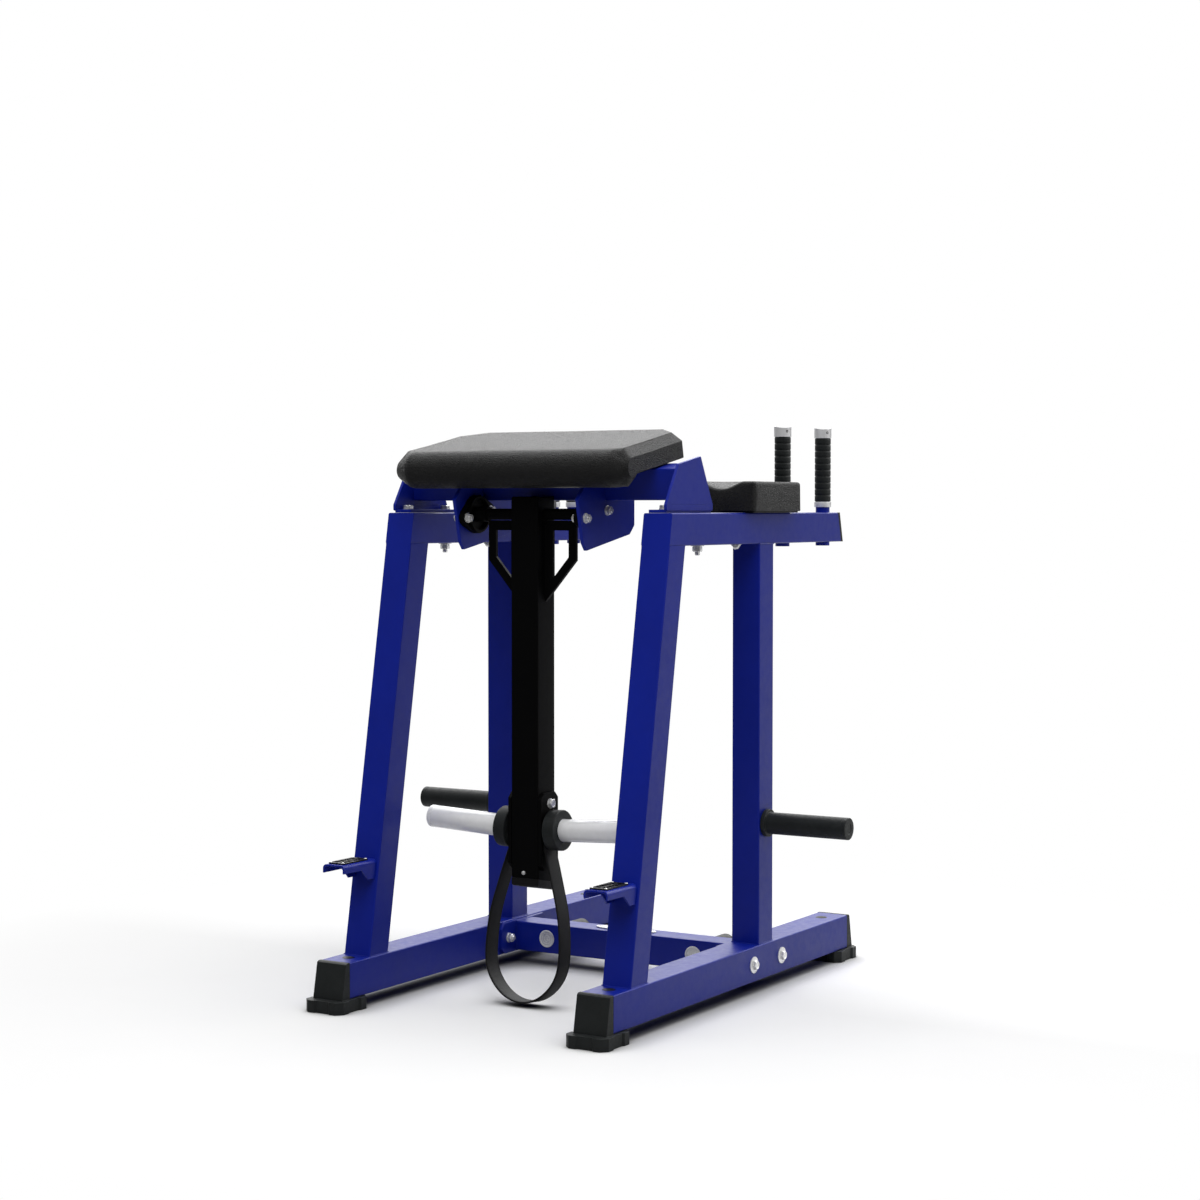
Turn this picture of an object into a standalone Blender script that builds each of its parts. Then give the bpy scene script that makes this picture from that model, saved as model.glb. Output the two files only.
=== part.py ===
"""Reverse hyperextension machine: a free-standing bench frame with a swinging leg pendulum.

Metres, +Z up. The origin is at floor level under the middle of the rubber feet. +X runs from the
left side frame to the right one, -Y is the side where the legs hang and +Y is the handle side.
"""

import math

import bmesh
import bpy
from mathutils import Matrix, Vector

for old in list(bpy.data.objects):
    bpy.data.objects.remove(old, do_unlink=True)

# Clearances
CLEAR = 0.0003              # gap between two faces that touch on the real machine
WELD_BITE = 0.0005          # depth to which one welded piece enters the other
HOLE_CLEAR = 0.0004         # radial gap of a bolt, post or rod in its hole
SLEEVE_GAP = 0.0010         # running gap between the parts threaded on the sleeve axle

# Side frames
FRAME_GAP = 0.600           # clear width between the two side frames
UPRIGHT_SIZE = 0.070        # square tube of uprights, top tubes, cross tube, pad beam
BASE_SIZE = 0.080           # square tube of the base
TUBE_WALL = 0.003
TUBE_CORNER = 0.0034
TOP_HEIGHT = 1.0887         # top face of the top tubes
BASE_LENGTH = 1.112
REAR_UPRIGHT_Y = 0.1355
FRONT_TOP_Y = -0.2785       # front upright's centre where it meets the top tube
FRONT_LEAN = math.radians(10.0)
TOP_TUBE_REAR_Y = 0.5200    # middle of the top tube's slanted rear end
TOP_TUBE_SLANT = 0.0175     # how much further back its lower edge reaches

# End feet and caps
FOOT_HEIGHT = 0.027
FOOT_WIDTH = 0.102
FOOT_LENGTH = 0.110
FOOT_OVERHANG = 0.052       # how far the front foot reaches past the base tube
REAR_FOOT_OVERHANG = 0.043  # how far the rear foot reaches past it
FOOT_CORNER = 0.014
FOOT_RECESS = 0.004
CAP_TOP_DEPTH = 0.0125
CAP_FOOT_DEPTH = 0.028
CAP_STEM = 0.020
CAP_EDGE = 0.003
CAP_SIDE_STEP = 0.0003
CAP_STEM_BITE = 0.001
TOP_CAP_THICK = 0.0100

# Base cross tube with its bolted flanges and the band pegs
CROSS_Y = 0.1355
CROSS_BOTTOM = 0.032
FLANGE_LENGTH = 0.200
FLANGE_HEIGHT = 0.074
FLANGE_THICK = 0.008
FLANGE_CHAMFER = 0.014
FLANGE_BOLT_SPREAD = 0.139
BAND_PEG_X = 0.200
BAND_PEG_DIAMETER = 0.050
BAND_PEG_LENGTH = 0.095
BAND_PEG_BORE_DEPTH = 0.035
BAND_PEG_EDGE = 0.006
BAND_DISC_DIAMETER = 0.041
BAND_DISC_THICK = 0.003
BAND_DISC_DISH = 0.0041     # width of the disc's sloping rim
BAND_DISC_ROUND = 0.0025
BAND_BOLT_GRIP = 0.028      # thread inside the peg
BAND_BOLT_DIAMETER = 0.012

# Storage pegs
STORE_PEG_DIAMETER = 0.050
STORE_PEG_LENGTH = 0.208
STORE_PEG_Z = 0.3820
STORE_COLLAR_DIAMETER = 0.063
STORE_COLLAR_LENGTH = 0.010
STORE_PEG_EDGE = 0.006

# Foot steps
STEP_TOP_Z = 0.320
STEP_WIDTH = 0.058
STEP_LENGTH = 0.120
STEP_SHEET = 0.004
STEP_LIP = 0.019
STEP_DEPTH = 0.042          # side wall height next to the upright
STEP_DEEP_FROM = 0.032      # length of that deeper part, at its foot
STEP_CORNER = 0.009
TREAD_WIDTH = 0.042
TREAD_LENGTH = 0.092
TREAD_THICK = 0.003
TREAD_INSET = 0.008
SLOT_ROWS = 4
SLOT_BORDER = 0.005
SLOT_RIB = 0.004

# Pad beam, brackets and pivot plates
PAD_TILT = math.radians(10.5)
BEAM_Y = -0.2025
BEAM_RISE = 0.0675          # beam's centre above the top tubes
BRACKET_OUTER_X = 0.3565
BRACKET_THICK = 0.007
BRACKET_LENGTH = 0.205
BRACKET_TOP_LENGTH = 0.098
BRACKET_LIP = 0.018
BRACKET_RISE = 0.0123       # top edge above the pad beam
BRACKET_SHIFT = 0.0023      # bracket's middle behind the beam's
BRACKET_FLANGE = 0.046
BRACKET_LIFT = 0.0045       # side plate's lower edge above the flange's underside
BRACKET_BEND = 0.0030       # flange's outer edge inside the plate's outer face
NOSE_REACH = 0.0750         # pivot plate's front corner ahead of the pivot
NOSE_RISE = 0.0315
HEEL_REACH = 0.0530
HEEL_DROP = 0.0619
TOE_REACH = 0.0395
TOE_DROP = 0.0785
TAIL_REACH = 0.1641         # rear edge behind the pivot
TAIL_DROP = 0.0246
TAIL_CORNER = 0.0200
TAIL_RISE = 0.0750
FRONT_EAR = 0.089           # plate's top corners along the beam's top, from its middle
REAR_EAR = 0.076
BROW_REACH = 0.1205         # plate's hollow edge under the pad's roll, from the beam
BROW_RISE = 0.008
PIVOT_Y = -0.271
PIVOT_DROP = 0.0029         # pivot below the top tubes' top face
PIVOT_PLATE_OUTER_X = 0.1635
PIVOT_PLATE_THICK = 0.008

# Bearings and shaft
SHAFT_DIAMETER = 0.0250
SHAFT_END_X = 0.152
HOUSING_RIM = 0.083
HOUSING_DEPTH = 0.0165      # plate to the rim's face
HOUSING_FLANGE = 0.012
HOUSING_WALL = 0.0055       # the rim's thickness at its face
HOUSING_HOLLOW = 0.010      # hollow between rim and bearing
HOUSING_SLOPE = 0.003       # how much narrower the hollow gets
RIM_STEP = 0.0015           # rim's radius inside the flange's round part
HOUSING_LUG = 0.017         # radius of the ends of the bearing flange
HOUSING_BOLT_SPREAD = 0.092
SPOT_FACE = 0.025           # diameter of the faces cut for the bolt heads
BEARING_RING = 0.034        # bearing's inner ring round the shaft
BEARING_REACH = 0.0385      # plate to that ring's end
BEARING_EDGE = 0.001

# Pendulum
ARM_SIZE = 0.070
ARM_WALL = 0.003
ARM_TOP_RISE = 0.0388       # arm's top above the pivot
ARM_TOP_EDGE = 0.003        # chamfer round the arm's top
ARM_BOTTOM_Z = 0.2765       # middle of the arm's slanted lower end
ARM_END_SLOPE = 0.215       # that end reaches lower towards the rear
ARM_BOTTOM_CAP = 0.0175
GUSSET_DROP = 0.0135        # gusset's top edge below the pivot
GUSSET_REACH = 0.1140
GUSSET_SIDE = 0.0875        # its outer upright edge
GUSSET_HEIGHT = 0.1795      # its edge along the arm
GUSSET_THICK = 0.008
GUSSET_BAR = 0.019
GUSSET_TOP_BAR = 0.022
GUSSET_INNER_BAR = 0.020
SLEEVE_AXIS_Z = 0.3900
AXLE_DIAMETER = 0.025
AXLE_END_X = 0.2565
SLEEVE_TILT = math.radians(2.75)   # sleeves rise towards their ends
CARRIAGE_THICK = 0.008
CARRIAGE_RISE = 0.083       # plate's top above the axle
CARRIAGE_DROP = 0.088
CARRIAGE_CHAMFER = 0.013
CARRIAGE_BOLT_RISE = 0.059
SLEEVE_DIAMETER = 0.050
SLEEVE_END_X = 0.2735
SLEEVE_EDGE = 0.0025
BUMPER_DIAMETER = 0.090
BUMPER_LENGTH = 0.029
BUMPER_EDGE = 0.005

# Ankle strap
STRAP_WIDTH = 0.048
STRAP_THICK = 0.004
STRAP_LEAN = math.radians(4.9)
STRAP_TAB = 0.022           # strap above the axle
STRAP_HALF_WIDTH = 0.0955   # half the loop's width, at its widest
STRAP_DROP = 0.382          # axle to the middle of the strap's lowest point

# Handles
HANDLE_FRONT_Y = 0.3146
HANDLE_REAR_Y = 0.4660
HANDLE_STAGGER = 0.0155     # front post inside the top tube's middle, rear post outside it
POST_DIAMETER = 0.0334
POST_WALL = 0.003
POST_TAIL = 0.009           # post below the top tube
POST_SHOW = 0.0125          # bare post above the top tube
COLLAR_DIAMETER = 0.0405
COLLAR_LOW = 0.013
COLLAR_CAP = 0.0245
COLLAR_CAP_WALL = 0.004
GRIP_DIAMETER = 0.038
GRIP_GROOVE = 0.0012
GRIP_LENGTH = 0.151
GRIP_RIBS = 10

# Pads
PAD_WIDTH = 0.600
PAD_THICK = 0.057
PAD_FRONT = 0.179           # nose in front of the beam's centre line, along the pad
PAD_REAR = 0.146
PAD_LIFT = 0.003            # cushion's underside above the pad beam
PAD_BEVEL = 0.020           # slope between top and sides, also at the roll's ends
PAD_CORNER = 0.062          # chamfer of the rear corners
PAD_CROWN = 0.0015
PAD_ROLL = 0.0415           # radius of the front roll
ROLL_RISE = 0.0003          # roll's top above the cushion's edge
PAD_FOLD = 0.002            # lower edge
BOARD_THICK = 0.015
BOARD_INSET = 0.022
ELBOW_OUT = 0.059           # outer side from the top tube's middle
ELBOW_IN = 0.118            # inner side at the front, from the top tube's middle
ELBOW_REAR_IN = 0.059       # inner side at the rear
ELBOW_SLANT = 0.115         # length over which the inner side narrows
ELBOW_LENGTH = 0.236
ELBOW_HEIGHT = 0.0690
ELBOW_Y = 0.1475
ELBOW_EDGE = 0.007
ELBOW_LIFT = 0.0035         # thickness of the base under the cushion
ELBOW_BASE_INSET = 0.006
SCOOP_WIDTH = 0.1036
SCOOP_DEPTH = 0.0163
SCOOP_LENGTH = 0.105
SCOOP_INWARD = 0.0293       # scoop's middle towards the machine's middle

# Fasteners
BOLT_DIAMETER = 0.012
HEX_ACROSS = 0.019
HEAD_HEIGHT = 0.0075
WASHER_DIAMETER = 0.024
SMALL_WASHER_DIAMETER = 0.022
WIDE_WASHER_DIAMETER = 0.038
WASHER_THICK = 0.0025
NUT_HEIGHT = 0.010
BOLT_TAIL = 0.004           # bolt past its nut

# Places worked out from the sizes above
SIDE_X = (FRAME_GAP + UPRIGHT_SIZE) / 2
BASE_BOTTOM = FOOT_HEIGHT + CLEAR
BASE_TOP = BASE_BOTTOM + BASE_SIZE
BASE_MID_Z = BASE_BOTTOM + BASE_SIZE / 2
BASE_INNER_X = SIDE_X - BASE_SIZE / 2
FOOT_SPAN = FOOT_OVERHANG + BASE_LENGTH + REAR_FOOT_OVERHANG
BASE_FRONT_Y = FOOT_OVERHANG - FOOT_SPAN / 2
BASE_REAR_Y = BASE_FRONT_Y + BASE_LENGTH
TOP_TUBE_BOTTOM = TOP_HEIGHT - UPRIGHT_SIZE
BEAM_Z = TOP_HEIGHT + BEAM_RISE
PIVOT_Z = TOP_HEIGHT - PIVOT_DROP
ARM_TOP_Z = PIVOT_Z + ARM_TOP_RISE
GUSSET_TOP_Z = PIVOT_Z - GUSSET_DROP
GUSSET_KNEE_Z = GUSSET_TOP_Z - GUSSET_SIDE
GUSSET_FOOT_Z = GUSSET_TOP_Z - GUSSET_HEIGHT
CARRIAGE_TOP_Z = SLEEVE_AXIS_Z + CARRIAGE_RISE
CARRIAGE_BOTTOM_Z = SLEEVE_AXIS_Z - CARRIAGE_DROP
CARRIAGE_BOLT_Z = SLEEVE_AXIS_Z + CARRIAGE_BOLT_RISE
TOP_TUBE_MID_Z = TOP_HEIGHT - UPRIGHT_SIZE / 2
LEAN_DEPTH = UPRIGHT_SIZE / math.cos(FRONT_LEAN)
CROSS_MID_Z = CROSS_BOTTOM + UPRIGHT_SIZE / 2
CROSS_END_X = BASE_INNER_X - CLEAR - FLANGE_THICK + WELD_BITE
PIVOT_PLATE_INNER_X = PIVOT_PLATE_OUTER_X - PIVOT_PLATE_THICK
BRACKET_INNER_X = BRACKET_OUTER_X - BRACKET_THICK
CARRIAGE_INNER_X = ARM_SIZE / 2 + CLEAR
CARRIAGE_OUTER_X = CARRIAGE_INNER_X + CARRIAGE_THICK
STRAP_INNER_X = CARRIAGE_OUTER_X + CLEAR
SLEEVE_KNEE_X = (STRAP_INNER_X + STRAP_THICK + CLEAR
                 + BUMPER_DIAMETER / 2 * math.sin(SLEEVE_TILT))
AXLE_HOLE = AXLE_DIAMETER / 2 + HOLE_CLEAR
BOLT_HOLE = BOLT_DIAMETER / 2 + HOLE_CLEAR

GRIP_LOW = TOP_HEIGHT + POST_SHOW + COLLAR_LOW + CLEAR
TOP_COLLAR_LOW = GRIP_LOW + GRIP_LENGTH + CLEAR
POST_TOP = TOP_COLLAR_LOW + COLLAR_CAP - COLLAR_CAP_WALL - CLEAR

# Colours
BLUE = (0.010, 0.020, 0.160)
BLACK_STEEL = (0.010, 0.010, 0.011)
BLACK_RUBBER = (0.020, 0.020, 0.020)
BLACK_PLASTIC = (0.030, 0.030, 0.030)
VINYL = (0.045, 0.045, 0.045)
BOARD_WOOD = (0.330, 0.210, 0.110)
ZINC = (0.750, 0.750, 0.740)
CHROME = (0.850, 0.850, 0.860)
ALUMINIUM = (0.780, 0.780, 0.790)
WEBBING = (0.018, 0.018, 0.018)

parts = bpy.data.collections.new("reverse_hyperextension_machine")
cutters = bpy.data.collections.new("cutters")
bpy.context.scene.collection.children.link(parts)
bpy.context.scene.collection.children.link(cutters)

ALONG_X = Matrix(((0, 0, 1), (1, 0, 0), (0, 1, 0))).to_4x4()   # local X, Y, Z to Y, Z, X
ALONG_Y = Matrix(((1, 0, 0), (0, 0, 1), (0, -1, 0))).to_4x4()  # local Z to +Y, local Y to -Z
ALONG_Z = Matrix.Identity(4)
UPRIGHT_PLANE = Matrix(((1, 0, 0), (0, 0, -1), (0, 1, 0))).to_4x4()  # local Y to Z


# Helpers: looks, meshes and objects

def look(name, colour, roughness, metallic=0.0):
    """Make the Principled material of one part."""
    made = bpy.data.materials.new(name)
    made.use_nodes = True
    shader = made.node_tree.nodes["Principled BSDF"]
    shader.inputs["Base Color"].default_value = (*colour, 1.0)
    shader.inputs["Roughness"].default_value = roughness
    shader.inputs["Metallic"].default_value = metallic
    made.diffuse_color = (*colour, 1.0)
    return made


FINISHES = {
    "blue": (BLUE, 0.45, 0.0),
    "black_steel": (BLACK_STEEL, 0.45, 0.0),
    "rubber": (BLACK_RUBBER, 0.75, 0.0),
    "plastic": (BLACK_PLASTIC, 0.55, 0.0),
    "vinyl": (VINYL, 0.50, 0.0),
    "board": (BOARD_WOOD, 0.80, 0.0),
    "zinc": (ZINC, 0.30, 1.0),
    "chrome": (CHROME, 0.08, 1.0),
    "aluminium": (ALUMINIUM, 0.35, 1.0),
    "webbing": (WEBBING, 0.85, 0.0),
}


def add_part(name, mesh, finish, matrix=None, parent=None):
    """Link one named piece with its own material, placed by a matrix."""
    colour, roughness, metallic = FINISHES[finish]
    obj = bpy.data.objects.new(name, mesh)
    mesh.materials.clear()
    mesh.materials.append(look(name + "_look", colour, roughness, metallic))
    parts.objects.link(obj)
    if parent is not None:
        obj.parent = parent
        obj.matrix_parent_inverse = Matrix.Translation(-parent.location)
    obj.matrix_basis = matrix if matrix is not None else Matrix.Identity(4)
    mesh.shade_smooth()
    mesh.set_sharp_from_angle(angle=math.radians(35))
    return obj


def evaluated_mesh(obj):
    """Return a welded copy of an object's evaluated mesh, and remove the object."""
    bpy.context.view_layer.update()
    graph = bpy.context.evaluated_depsgraph_get()
    mesh = bpy.data.meshes.new_from_object(obj.evaluated_get(graph))
    bpy.data.objects.remove(obj, do_unlink=True)
    work = bmesh.new()
    work.from_mesh(mesh)
    bmesh.ops.remove_doubles(work, verts=work.verts, dist=0.00002)
    bmesh.ops.dissolve_degenerate(work, edges=work.edges, dist=0.00001)
    bmesh.ops.recalc_face_normals(work, faces=work.faces)
    work.to_mesh(mesh)
    work.free()
    return mesh


def outline_mesh(loops, depth):
    """Extrude closed flat outlines along Z, centred; inner loops become holes."""
    curve = bpy.data.curves.new("outline", "CURVE")
    curve.dimensions = "2D"
    curve.fill_mode = "BOTH"
    curve.extrude = depth / 2
    for loop in loops:
        spline = curve.splines.new("POLY")
        spline.points.add(len(loop) - 1)
        for point, (x, y) in zip(spline.points, loop):
            point.co = (x, y, 0.0, 1.0)
        spline.use_cyclic_u = True
    obj = bpy.data.objects.new("outline", curve)
    bpy.context.scene.collection.objects.link(obj)
    return evaluated_mesh(obj)


def turned_mesh(profile, segments, closed=False):
    """Turn a profile of (radius, height) points, outer side top to bottom, about Z."""
    mesh = bpy.data.meshes.new("profile")
    points = [(radius, 0.0, height) for radius, height in profile]
    edges = [(i, i + 1) for i in range(len(points) - 1)]
    if closed:
        edges.append((len(points) - 1, 0))
    mesh.from_pydata(points, edges, [])
    obj = bpy.data.objects.new("profile", mesh)
    bpy.context.scene.collection.objects.link(obj)
    screw = obj.modifiers.new("turn", "SCREW")
    screw.steps = segments
    screw.render_steps = segments
    screw.use_merge_vertices = True
    screw.merge_threshold = 0.00001
    return evaluated_mesh(obj)


def cylinder_mesh(radius, depth, segments=20):
    """Make a closed cylinder on Z, centred."""
    mesh = bpy.data.meshes.new("cylinder")
    work = bmesh.new()
    bmesh.ops.create_cone(work, cap_ends=True, segments=segments, radius1=radius,
                          radius2=radius, depth=depth)
    work.to_mesh(mesh)
    work.free()
    return mesh


def box_mesh(size_x, size_y, size_z):
    """Make a closed box, centred."""
    mesh = bpy.data.meshes.new("box")
    work = bmesh.new()
    bmesh.ops.create_cube(work, size=1.0)
    bmesh.ops.scale(work, vec=(size_x, size_y, size_z), verts=work.verts)
    work.to_mesh(mesh)
    work.free()
    return mesh


def moved(mesh, matrix):
    """Move a mesh's own points by a matrix and return it."""
    mesh.transform(matrix)
    return mesh


def place(x, y, z, turn=ALONG_Z):
    """Matrix that turns a local shape and puts it at a point."""
    return Matrix.Translation((x, y, z)) @ turn


def tilted(x, y, z, angle, turn=ALONG_X):
    """Like place, then tilted by an angle about the world X direction."""
    return Matrix.Translation((x, y, z)) @ Matrix.Rotation(angle, 4, "X") @ turn


def helper_object(name, mesh, matrix):
    """Link a hidden cutter or joiner."""
    obj = bpy.data.objects.new(name, mesh)
    obj.matrix_basis = matrix
    obj.hide_render = True
    obj.display_type = "WIRE"
    cutters.objects.link(obj)
    return obj


def combine(obj, mesh, matrix, operation):
    """Add an exact Boolean of a helper shape to an object."""
    helper = helper_object(obj.name + "_" + operation.lower(), mesh, matrix)
    step = obj.modifiers.new(operation.lower(), "BOOLEAN")
    step.operation = operation
    step.solver = "EXACT"
    step.object = helper


def cut(obj, mesh, matrix):
    """Cut a helper shape out of an object."""
    combine(obj, mesh, matrix, "DIFFERENCE")


def fused_mesh(pieces):
    """Join overlapping (mesh, matrix) pieces into one body with exact unions."""
    first, matrix = pieces[0]
    body = bpy.data.objects.new("body", moved(first, matrix))
    bpy.context.scene.collection.objects.link(body)
    helpers = []
    for mesh, matrix in pieces[1:]:
        helper = bpy.data.objects.new("joiner", mesh)
        helper.matrix_basis = matrix
        bpy.context.scene.collection.objects.link(helper)
        step = body.modifiers.new("join", "BOOLEAN")
        step.operation = "UNION"
        step.solver = "EXACT"
        step.object = helper
        helpers.append(helper)
    mesh = evaluated_mesh(body)
    for helper in helpers:
        bpy.data.objects.remove(helper, do_unlink=True)
    return mesh


# Helpers: outlines

def circle_loop(radius, x=0.0, y=0.0, count=20):
    """Closed ring of points."""
    step = 2 * math.pi / count
    return [(x + radius * math.cos(i * step), y + radius * math.sin(i * step))
            for i in range(count)]


def rounded_loop(corners, radius, count=2):
    """Round the corners of a closed outline with short arcs."""
    loop = []
    total = len(corners)
    for i in range(total):
        here = Vector(corners[i])
        before = (Vector(corners[i - 1]) - here).normalized()
        after = (Vector(corners[(i + 1) % total]) - here).normalized()
        half = before.angle(after) / 2
        reach = radius / math.tan(half)
        centre = here + (before + after).normalized() * (radius / math.sin(half))
        start = here + before * reach - centre
        end = here + after * reach - centre
        for k in range(count + 1):
            share = k / count
            spoke = start.lerp(end, share).normalized() * radius
            loop.append(tuple(centre + spoke))
    return loop


def rectangle(width, height, x=0.0, y=0.0):
    """Corner points of a rectangle, anticlockwise."""
    a = width / 2
    b = height / 2
    return [(x - a, y - b), (x + a, y - b), (x + a, y + b), (x - a, y + b)]


def chamfered(width, height, chamfer, x=0.0, y=0.0):
    """Rectangle with its corners cut off."""
    a = width / 2
    b = height / 2
    c = chamfer
    loop = [(-a + c, -b), (a - c, -b), (a, -b + c), (a, b - c),
            (a - c, b), (-a + c, b), (-a, b - c), (-a, -b + c)]
    return [(x + u, y + v) for u, v in loop]


def tube_mesh(width, height, length, wall=TUBE_WALL):
    """Open-ended rounded rectangular tube along Z, centred."""
    outer = rounded_loop(rectangle(width, height), TUBE_CORNER)
    inner = rectangle(width - 2 * wall, height - 2 * wall)
    return outline_mesh([outer, inner], length)


def sheared(mesh, slope):
    """Shift points along local Y in step with their height."""
    for vertex in mesh.vertices:
        vertex.co.y += slope * vertex.co.z
    return mesh


def inset_loop(loop, inset):
    """Move a closed anticlockwise outline inward by an even distance."""
    moved_loop = []
    total = len(loop)
    for i in range(total):
        here = Vector(loop[i])
        before = (here - Vector(loop[i - 1])).normalized()
        after = (Vector(loop[(i + 1) % total]) - here).normalized()
        normal_a = Vector((-before.y, before.x))
        normal_b = Vector((-after.y, after.x))
        mitre = (normal_a + normal_b).normalized()
        reach = inset / max(mitre.dot(normal_a), 0.4)
        moved_loop.append(here + mitre * reach)
    return moved_loop


def stacked_mesh(loop, levels):
    """Close a stack of rings of one outline: levels are (height, inset, scale) upward."""
    mesh = bpy.data.meshes.new("stack")
    work = bmesh.new()
    rings = []
    for height, inset, scale in levels:
        ring = [work.verts.new((p.x * scale, p.y * scale, height))
                for p in inset_loop(loop, inset)]
        rings.append(ring)
    total = len(loop)
    for lower, upper in zip(rings, rings[1:]):
        for i in range(total):
            k = (i + 1) % total
            work.faces.new((lower[i], lower[k], upper[k], upper[i]))
    work.faces.new(list(reversed(rings[0])))
    work.faces.new(rings[-1])
    bmesh.ops.triangulate(work, faces=[f for f in work.faces if len(f.verts) > 4])
    work.to_mesh(mesh)
    work.free()
    return mesh


def through_hole(obj, radius, matrix, depth, segments=20):
    """Cut a round hole along the matrix's local Z."""
    cut(obj, cylinder_mesh(radius, depth, segments), matrix)


# Fasteners

def bolt_mesh(grip, washer_diameter):
    """Hex bolt on Z: washer under the head at z = 0, nut and washer below the grip."""
    hex_radius = HEX_ACROSS / math.sqrt(3)
    seat = -grip - CLEAR - WASHER_THICK
    tip = seat - NUT_HEIGHT - BOLT_TAIL
    shank_top = WASHER_THICK + HEAD_HEIGHT / 2
    head = cylinder_mesh(hex_radius, HEAD_HEIGHT, 6)
    washer = cylinder_mesh(washer_diameter / 2, WASHER_THICK, 14)
    shank = cylinder_mesh(BOLT_DIAMETER / 2, shank_top - tip, 10)
    low_washer = cylinder_mesh(WASHER_DIAMETER / 2, WASHER_THICK, 14)
    nut = cylinder_mesh(hex_radius, NUT_HEIGHT, 6)
    return fused_mesh([(head, place(0, 0, CLEAR + WASHER_THICK + HEAD_HEIGHT / 2 - WELD_BITE)),
                       (washer, place(0, 0, CLEAR + WASHER_THICK / 2)),
                       (shank, place(0, 0, (shank_top + tip) / 2)),
                       (low_washer, place(0, 0, seat + WASHER_THICK / 2)),
                       (nut, place(0, 0, seat - NUT_HEIGHT / 2 + WELD_BITE))])


# Side frames

def base_tube(name, sign):
    """Square base tube with its flange bolt holes."""
    mid_y = BASE_FRONT_Y + BASE_LENGTH / 2
    mesh = moved(tube_mesh(BASE_SIZE, BASE_SIZE, BASE_LENGTH), ALONG_Y)
    obj = add_part(name, mesh, "blue", place(sign * SIDE_X, mid_y, BASE_MID_Z))
    for y in flange_bolt_places():
        through_hole(obj, BOLT_HOLE, place(sign * SIDE_X, y, BASE_MID_Z, ALONG_X),
                     BASE_SIZE * 1.3, 12)


def flange_bolt_places():
    """Y of the two bolts through each end of the cross tube."""
    return (CROSS_Y - FLANGE_BOLT_SPREAD / 2, CROSS_Y + FLANGE_BOLT_SPREAD / 2)


def front_upright(name, sign):
    """Leaning tube with level ends, between base tube and top tube."""
    low = BASE_TOP + CLEAR
    high = TOP_TUBE_BOTTOM - CLEAR
    mesh = tube_mesh(UPRIGHT_SIZE, LEAN_DEPTH, high - low)
    sheared(mesh, math.tan(FRONT_LEAN))
    middle = (low + high) / 2
    y = FRONT_TOP_Y - (TOP_TUBE_BOTTOM - middle) * math.tan(FRONT_LEAN)
    add_part(name, mesh, "blue", place(sign * SIDE_X, y, middle))


def rear_upright(name, sign):
    """Plumb tube between base tube and top tube."""
    low = BASE_TOP + CLEAR
    high = TOP_TUBE_BOTTOM - CLEAR
    mesh = tube_mesh(UPRIGHT_SIZE, UPRIGHT_SIZE, high - low)
    add_part(name, mesh, "blue", place(sign * SIDE_X, REAR_UPRIGHT_Y, (low + high) / 2))


def top_tube(name, sign):
    """Top tube with closed leaning front end, slanted open rear end and two welded posts."""
    half = UPRIGHT_SIZE / 2
    lean = math.tan(FRONT_LEAN)
    front = FRONT_TOP_Y - LEAN_DEPTH / 2 + half * lean
    rear = TOP_TUBE_REAR_Y
    middle = (front + rear) / 2
    section = rounded_loop(rectangle(UPRIGHT_SIZE, UPRIGHT_SIZE), TUBE_CORNER)
    mesh = moved(outline_mesh([section], rear - front), ALONG_Y)
    for vertex in mesh.vertices:
        slope = lean if vertex.co.y < 0 else -TOP_TUBE_SLANT / UPRIGHT_SIZE
        vertex.co.y += slope * vertex.co.z
    obj = add_part(name, mesh, "blue", place(sign * SIDE_X, middle, TOP_TUBE_MID_Z))
    inside = UPRIGHT_SIZE - 2 * TUBE_WALL
    start = front + TUBE_WALL + half * lean
    end = rear + UPRIGHT_SIZE
    cut(obj, box_mesh(inside, end - start, inside),
        place(sign * SIDE_X, (start + end) / 2, TOP_TUBE_MID_Z))
    low = TOP_TUBE_BOTTOM - POST_TAIL
    for _, x, y in handle_places():
        centre = place(sign * x, y, (low + POST_TOP) / 2)
        combine(obj, cylinder_mesh(POST_DIAMETER / 2, POST_TOP - low), centre, "UNION")
        through_hole(obj, POST_DIAMETER / 2 - POST_WALL, centre, (POST_TOP - low) * 1.1)


def handle_places():
    """Name, X on the right side, and Y of the two handles of one side."""
    return (("front", SIDE_X - HANDLE_STAGGER, HANDLE_FRONT_Y),
            ("rear", SIDE_X + HANDLE_STAGGER, HANDLE_REAR_Y))


# End feet and caps

def foot_mesh():
    """Rubber block with cut corners and a shallow recess in each side."""
    a = FOOT_WIDTH / 2
    b = FOOT_LENGTH / 2
    c = FOOT_CORNER
    r = FOOT_RECESS
    quarter = [(a - r, b / 3), (a, b / 3 + r), (a, b - c), (a - c, b),
               (a / 3 + r, b), (a / 3, b - r)]
    left = [(-x, y) for x, y in reversed(quarter)]
    low_left = [(-x, -y) for x, y in quarter]
    low_right = [(x, -y) for x, y in reversed(quarter)]
    return outline_mesh([quarter + left + low_left + low_right], FOOT_HEIGHT)


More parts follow.
